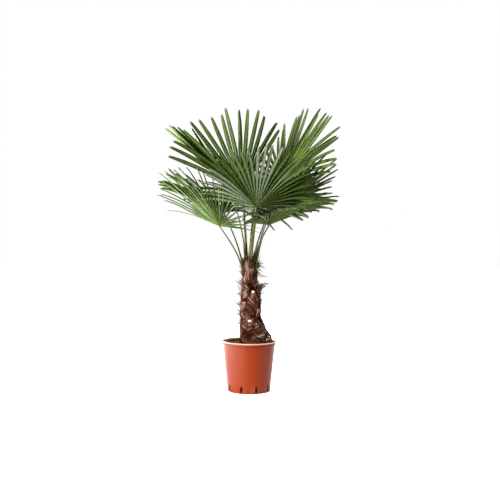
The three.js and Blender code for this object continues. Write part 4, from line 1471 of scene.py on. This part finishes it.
RIBBON_COUNT = 620
RIBBON_POINTS = 9
RIBBON_LENGTHS = (35, 105)
RIBBON_WIDTHS = (1.2, 3.8)
RIBBON_STAND_OFF = (0.6, 3.2)
# Nearly half of the ribbons are on the front left, round this azimuth
RIBBON_FRONT = -115
RIBBON_FRONT_SHARE = 0.45
# How far the ribbons may pass the trunk's head, which is less on the open side below the front fan
OPEN_SIDE = -62
OPEN_SIDE_PASS = 4
RIBBON_PASS = 62
RIBBON_FLARE_ODDS = 0.16
RIBBON_FLARES = (4, 22)


def neck_ribbons():
    """Broad, upright ribbons of reddish sheath round the neck that close in on the stalks."""
    rng = np.random.default_rng(37)
    count = RIBBON_COUNT
    front = rng.uniform(0, 1, count) < RIBBON_FRONT_SHARE
    azimuth = np.where(front, rng.normal(radians(RIBBON_FRONT), 0.6, count),
                       rng.uniform(0, 2 * math.pi, count))
    start = rng.uniform(NECK_Z - 8, TRUNK_TOP - 6, count)
    length = rng.uniform(*RIBBON_LENGTHS, count)
    open_side = np.cos(azimuth - radians(OPEN_SIDE)) > 0.8
    highest = TRUNK_TOP + np.where(open_side, OPEN_SIDE_PASS, RIBBON_PASS)
    top = np.minimum(start + length, rng.uniform(highest - 50, highest, count))
    share = np.linspace(0, 1, RIBBON_POINTS)[None, :]
    z = start[:, None] + (top - start)[:, None] * share
    over = np.clip(z - TRUNK_TOP, 0, 100)
    turns = azimuth[:, None] + rng.uniform(-0.25, 0.25, count)[:, None] * share
    stand_off = rng.uniform(*RIBBON_STAND_OFF, count)[:, None]
    flares = (rng.uniform(0, 1, count) < RIBBON_FLARE_ODDS)[:, None]
    flare = flares * rng.uniform(*RIBBON_FLARES, count)[:, None] * share ** 3
    radius = trunk_radius(turns, np.minimum(z, TRUNK_TOP)) + stand_off + flare - over * 0.24
    routes = np.stack([radius * np.cos(turns) + trunk_centre_x(TRUNK_TOP), radius * np.sin(turns), z], -1)
    lean = np.where(np.cos(azimuth - radians(-135)) > 0.6, 0, -0.2)
    tones = fibre_tones(azimuth, start, rng, lean, 0.9)
    strands("neck_ribbons", routes, rng.uniform(*RIBBON_WIDTHS, count), tones)


# Assembly

make_pot()
make_soil()
scatter_crumbs()
make_trunk()
fibre_mat()
loose_fibre()
stray_strands()
for number in range(LEAF_BASE_COUNT):
    make_leaf_base(number)
head_fibre()
neck_ribbons()
for frond in FRONDS:
    make_petiole(frond)
    make_fan(frond)


# Stage, light and camera

def make_floor():
    deselect()
    bpy.ops.mesh.primitive_plane_add(size=24, location=(0, 0, -0.0005))
    floor = bpy.context.object
    floor.name = "studio_floor"
    material, _, shader = bare_material("pale_floor", 1.0, 0.0)
    shader.inputs["Base Color"].default_value = (0.98, 0.98, 0.98, 1)
    floor.data.materials.append(material)


def aim_at(thing, place, target):
    thing.location = place
    thing.rotation_euler = (Vector(target) - Vector(place)).to_track_quat("-Z", "Y").to_euler()


def area_light(name, place, target, size, power, spread=180, diffuse=True):
    light = bpy.data.lights.new(name, "AREA")
    light.shape = "RECTANGLE"
    light.size, light.size_y = size
    light.energy = power
    light.spread = radians(spread)
    lamp = linked_object(name, light)
    lamp.visible_camera = False
    lamp.visible_diffuse = diffuse
    aim_at(lamp, place, target)


def make_camera():
    camera = bpy.data.cameras.new("camera")
    camera.lens = CAMERA_LENS
    camera.sensor_width = 36
    camera.clip_end = 60
    eye = linked_object("camera", camera)
    aim_at(eye, CAMERA_PLACE, CAMERA_TARGET)
    eye.rotation_euler.rotate_axis("Z", radians(CAMERA_ROLL))
    bpy.context.scene.camera = eye


def make_world():
    world = bpy.data.worlds.new("studio")
    world.use_nodes = True
    background = world.node_tree.nodes["Background"]
    background.inputs["Color"].default_value = (1, 1, 1, 1)
    background.inputs["Strength"].default_value = 1.0
    bpy.context.scene.world = world
    bpy.context.scene.view_settings.view_transform = "Standard"


make_floor()
# Lamps: name, place, aim, size and watts
area_light("key_left", (-2.9, -2.7, 2.1), (0, 0, 0.8), (1.0, 1.5), 860)
area_light("fill_right", (3.0, -2.2, 1.2), (0, 0, 0.9), (1.0, 2.0), 22)
area_light("pot_light", (-1.7, -2.0, 0.35), (0, 0, 0.1), (0.5, 0.5), 14, spread=34)
area_light("pot_sheen", (-1.93, -0.3, 0.35), (0, 0, 0.12), (0.9, 0.7), 58, spread=60, diffuse=False)
area_light("pot_edge_left", (-1.5, 1.2, 0.35), (0, 0, 0.12), (0.6, 0.7), 21, spread=60, diffuse=False)
area_light("pot_edge", (2.3, -0.5, 0.35), (0, 0, 0.12), (0.4, 0.5), 3, spread=34)
area_light("back_left", (-1.8, 3.2, 1.5), (0, 0, 0.9), (1.2, 1.5), 320)
area_light("back_right", (2.9, 2.0, 1.4), (0, 0, 0.9), (1.2, 1.5), 200)
make_camera()
make_world()
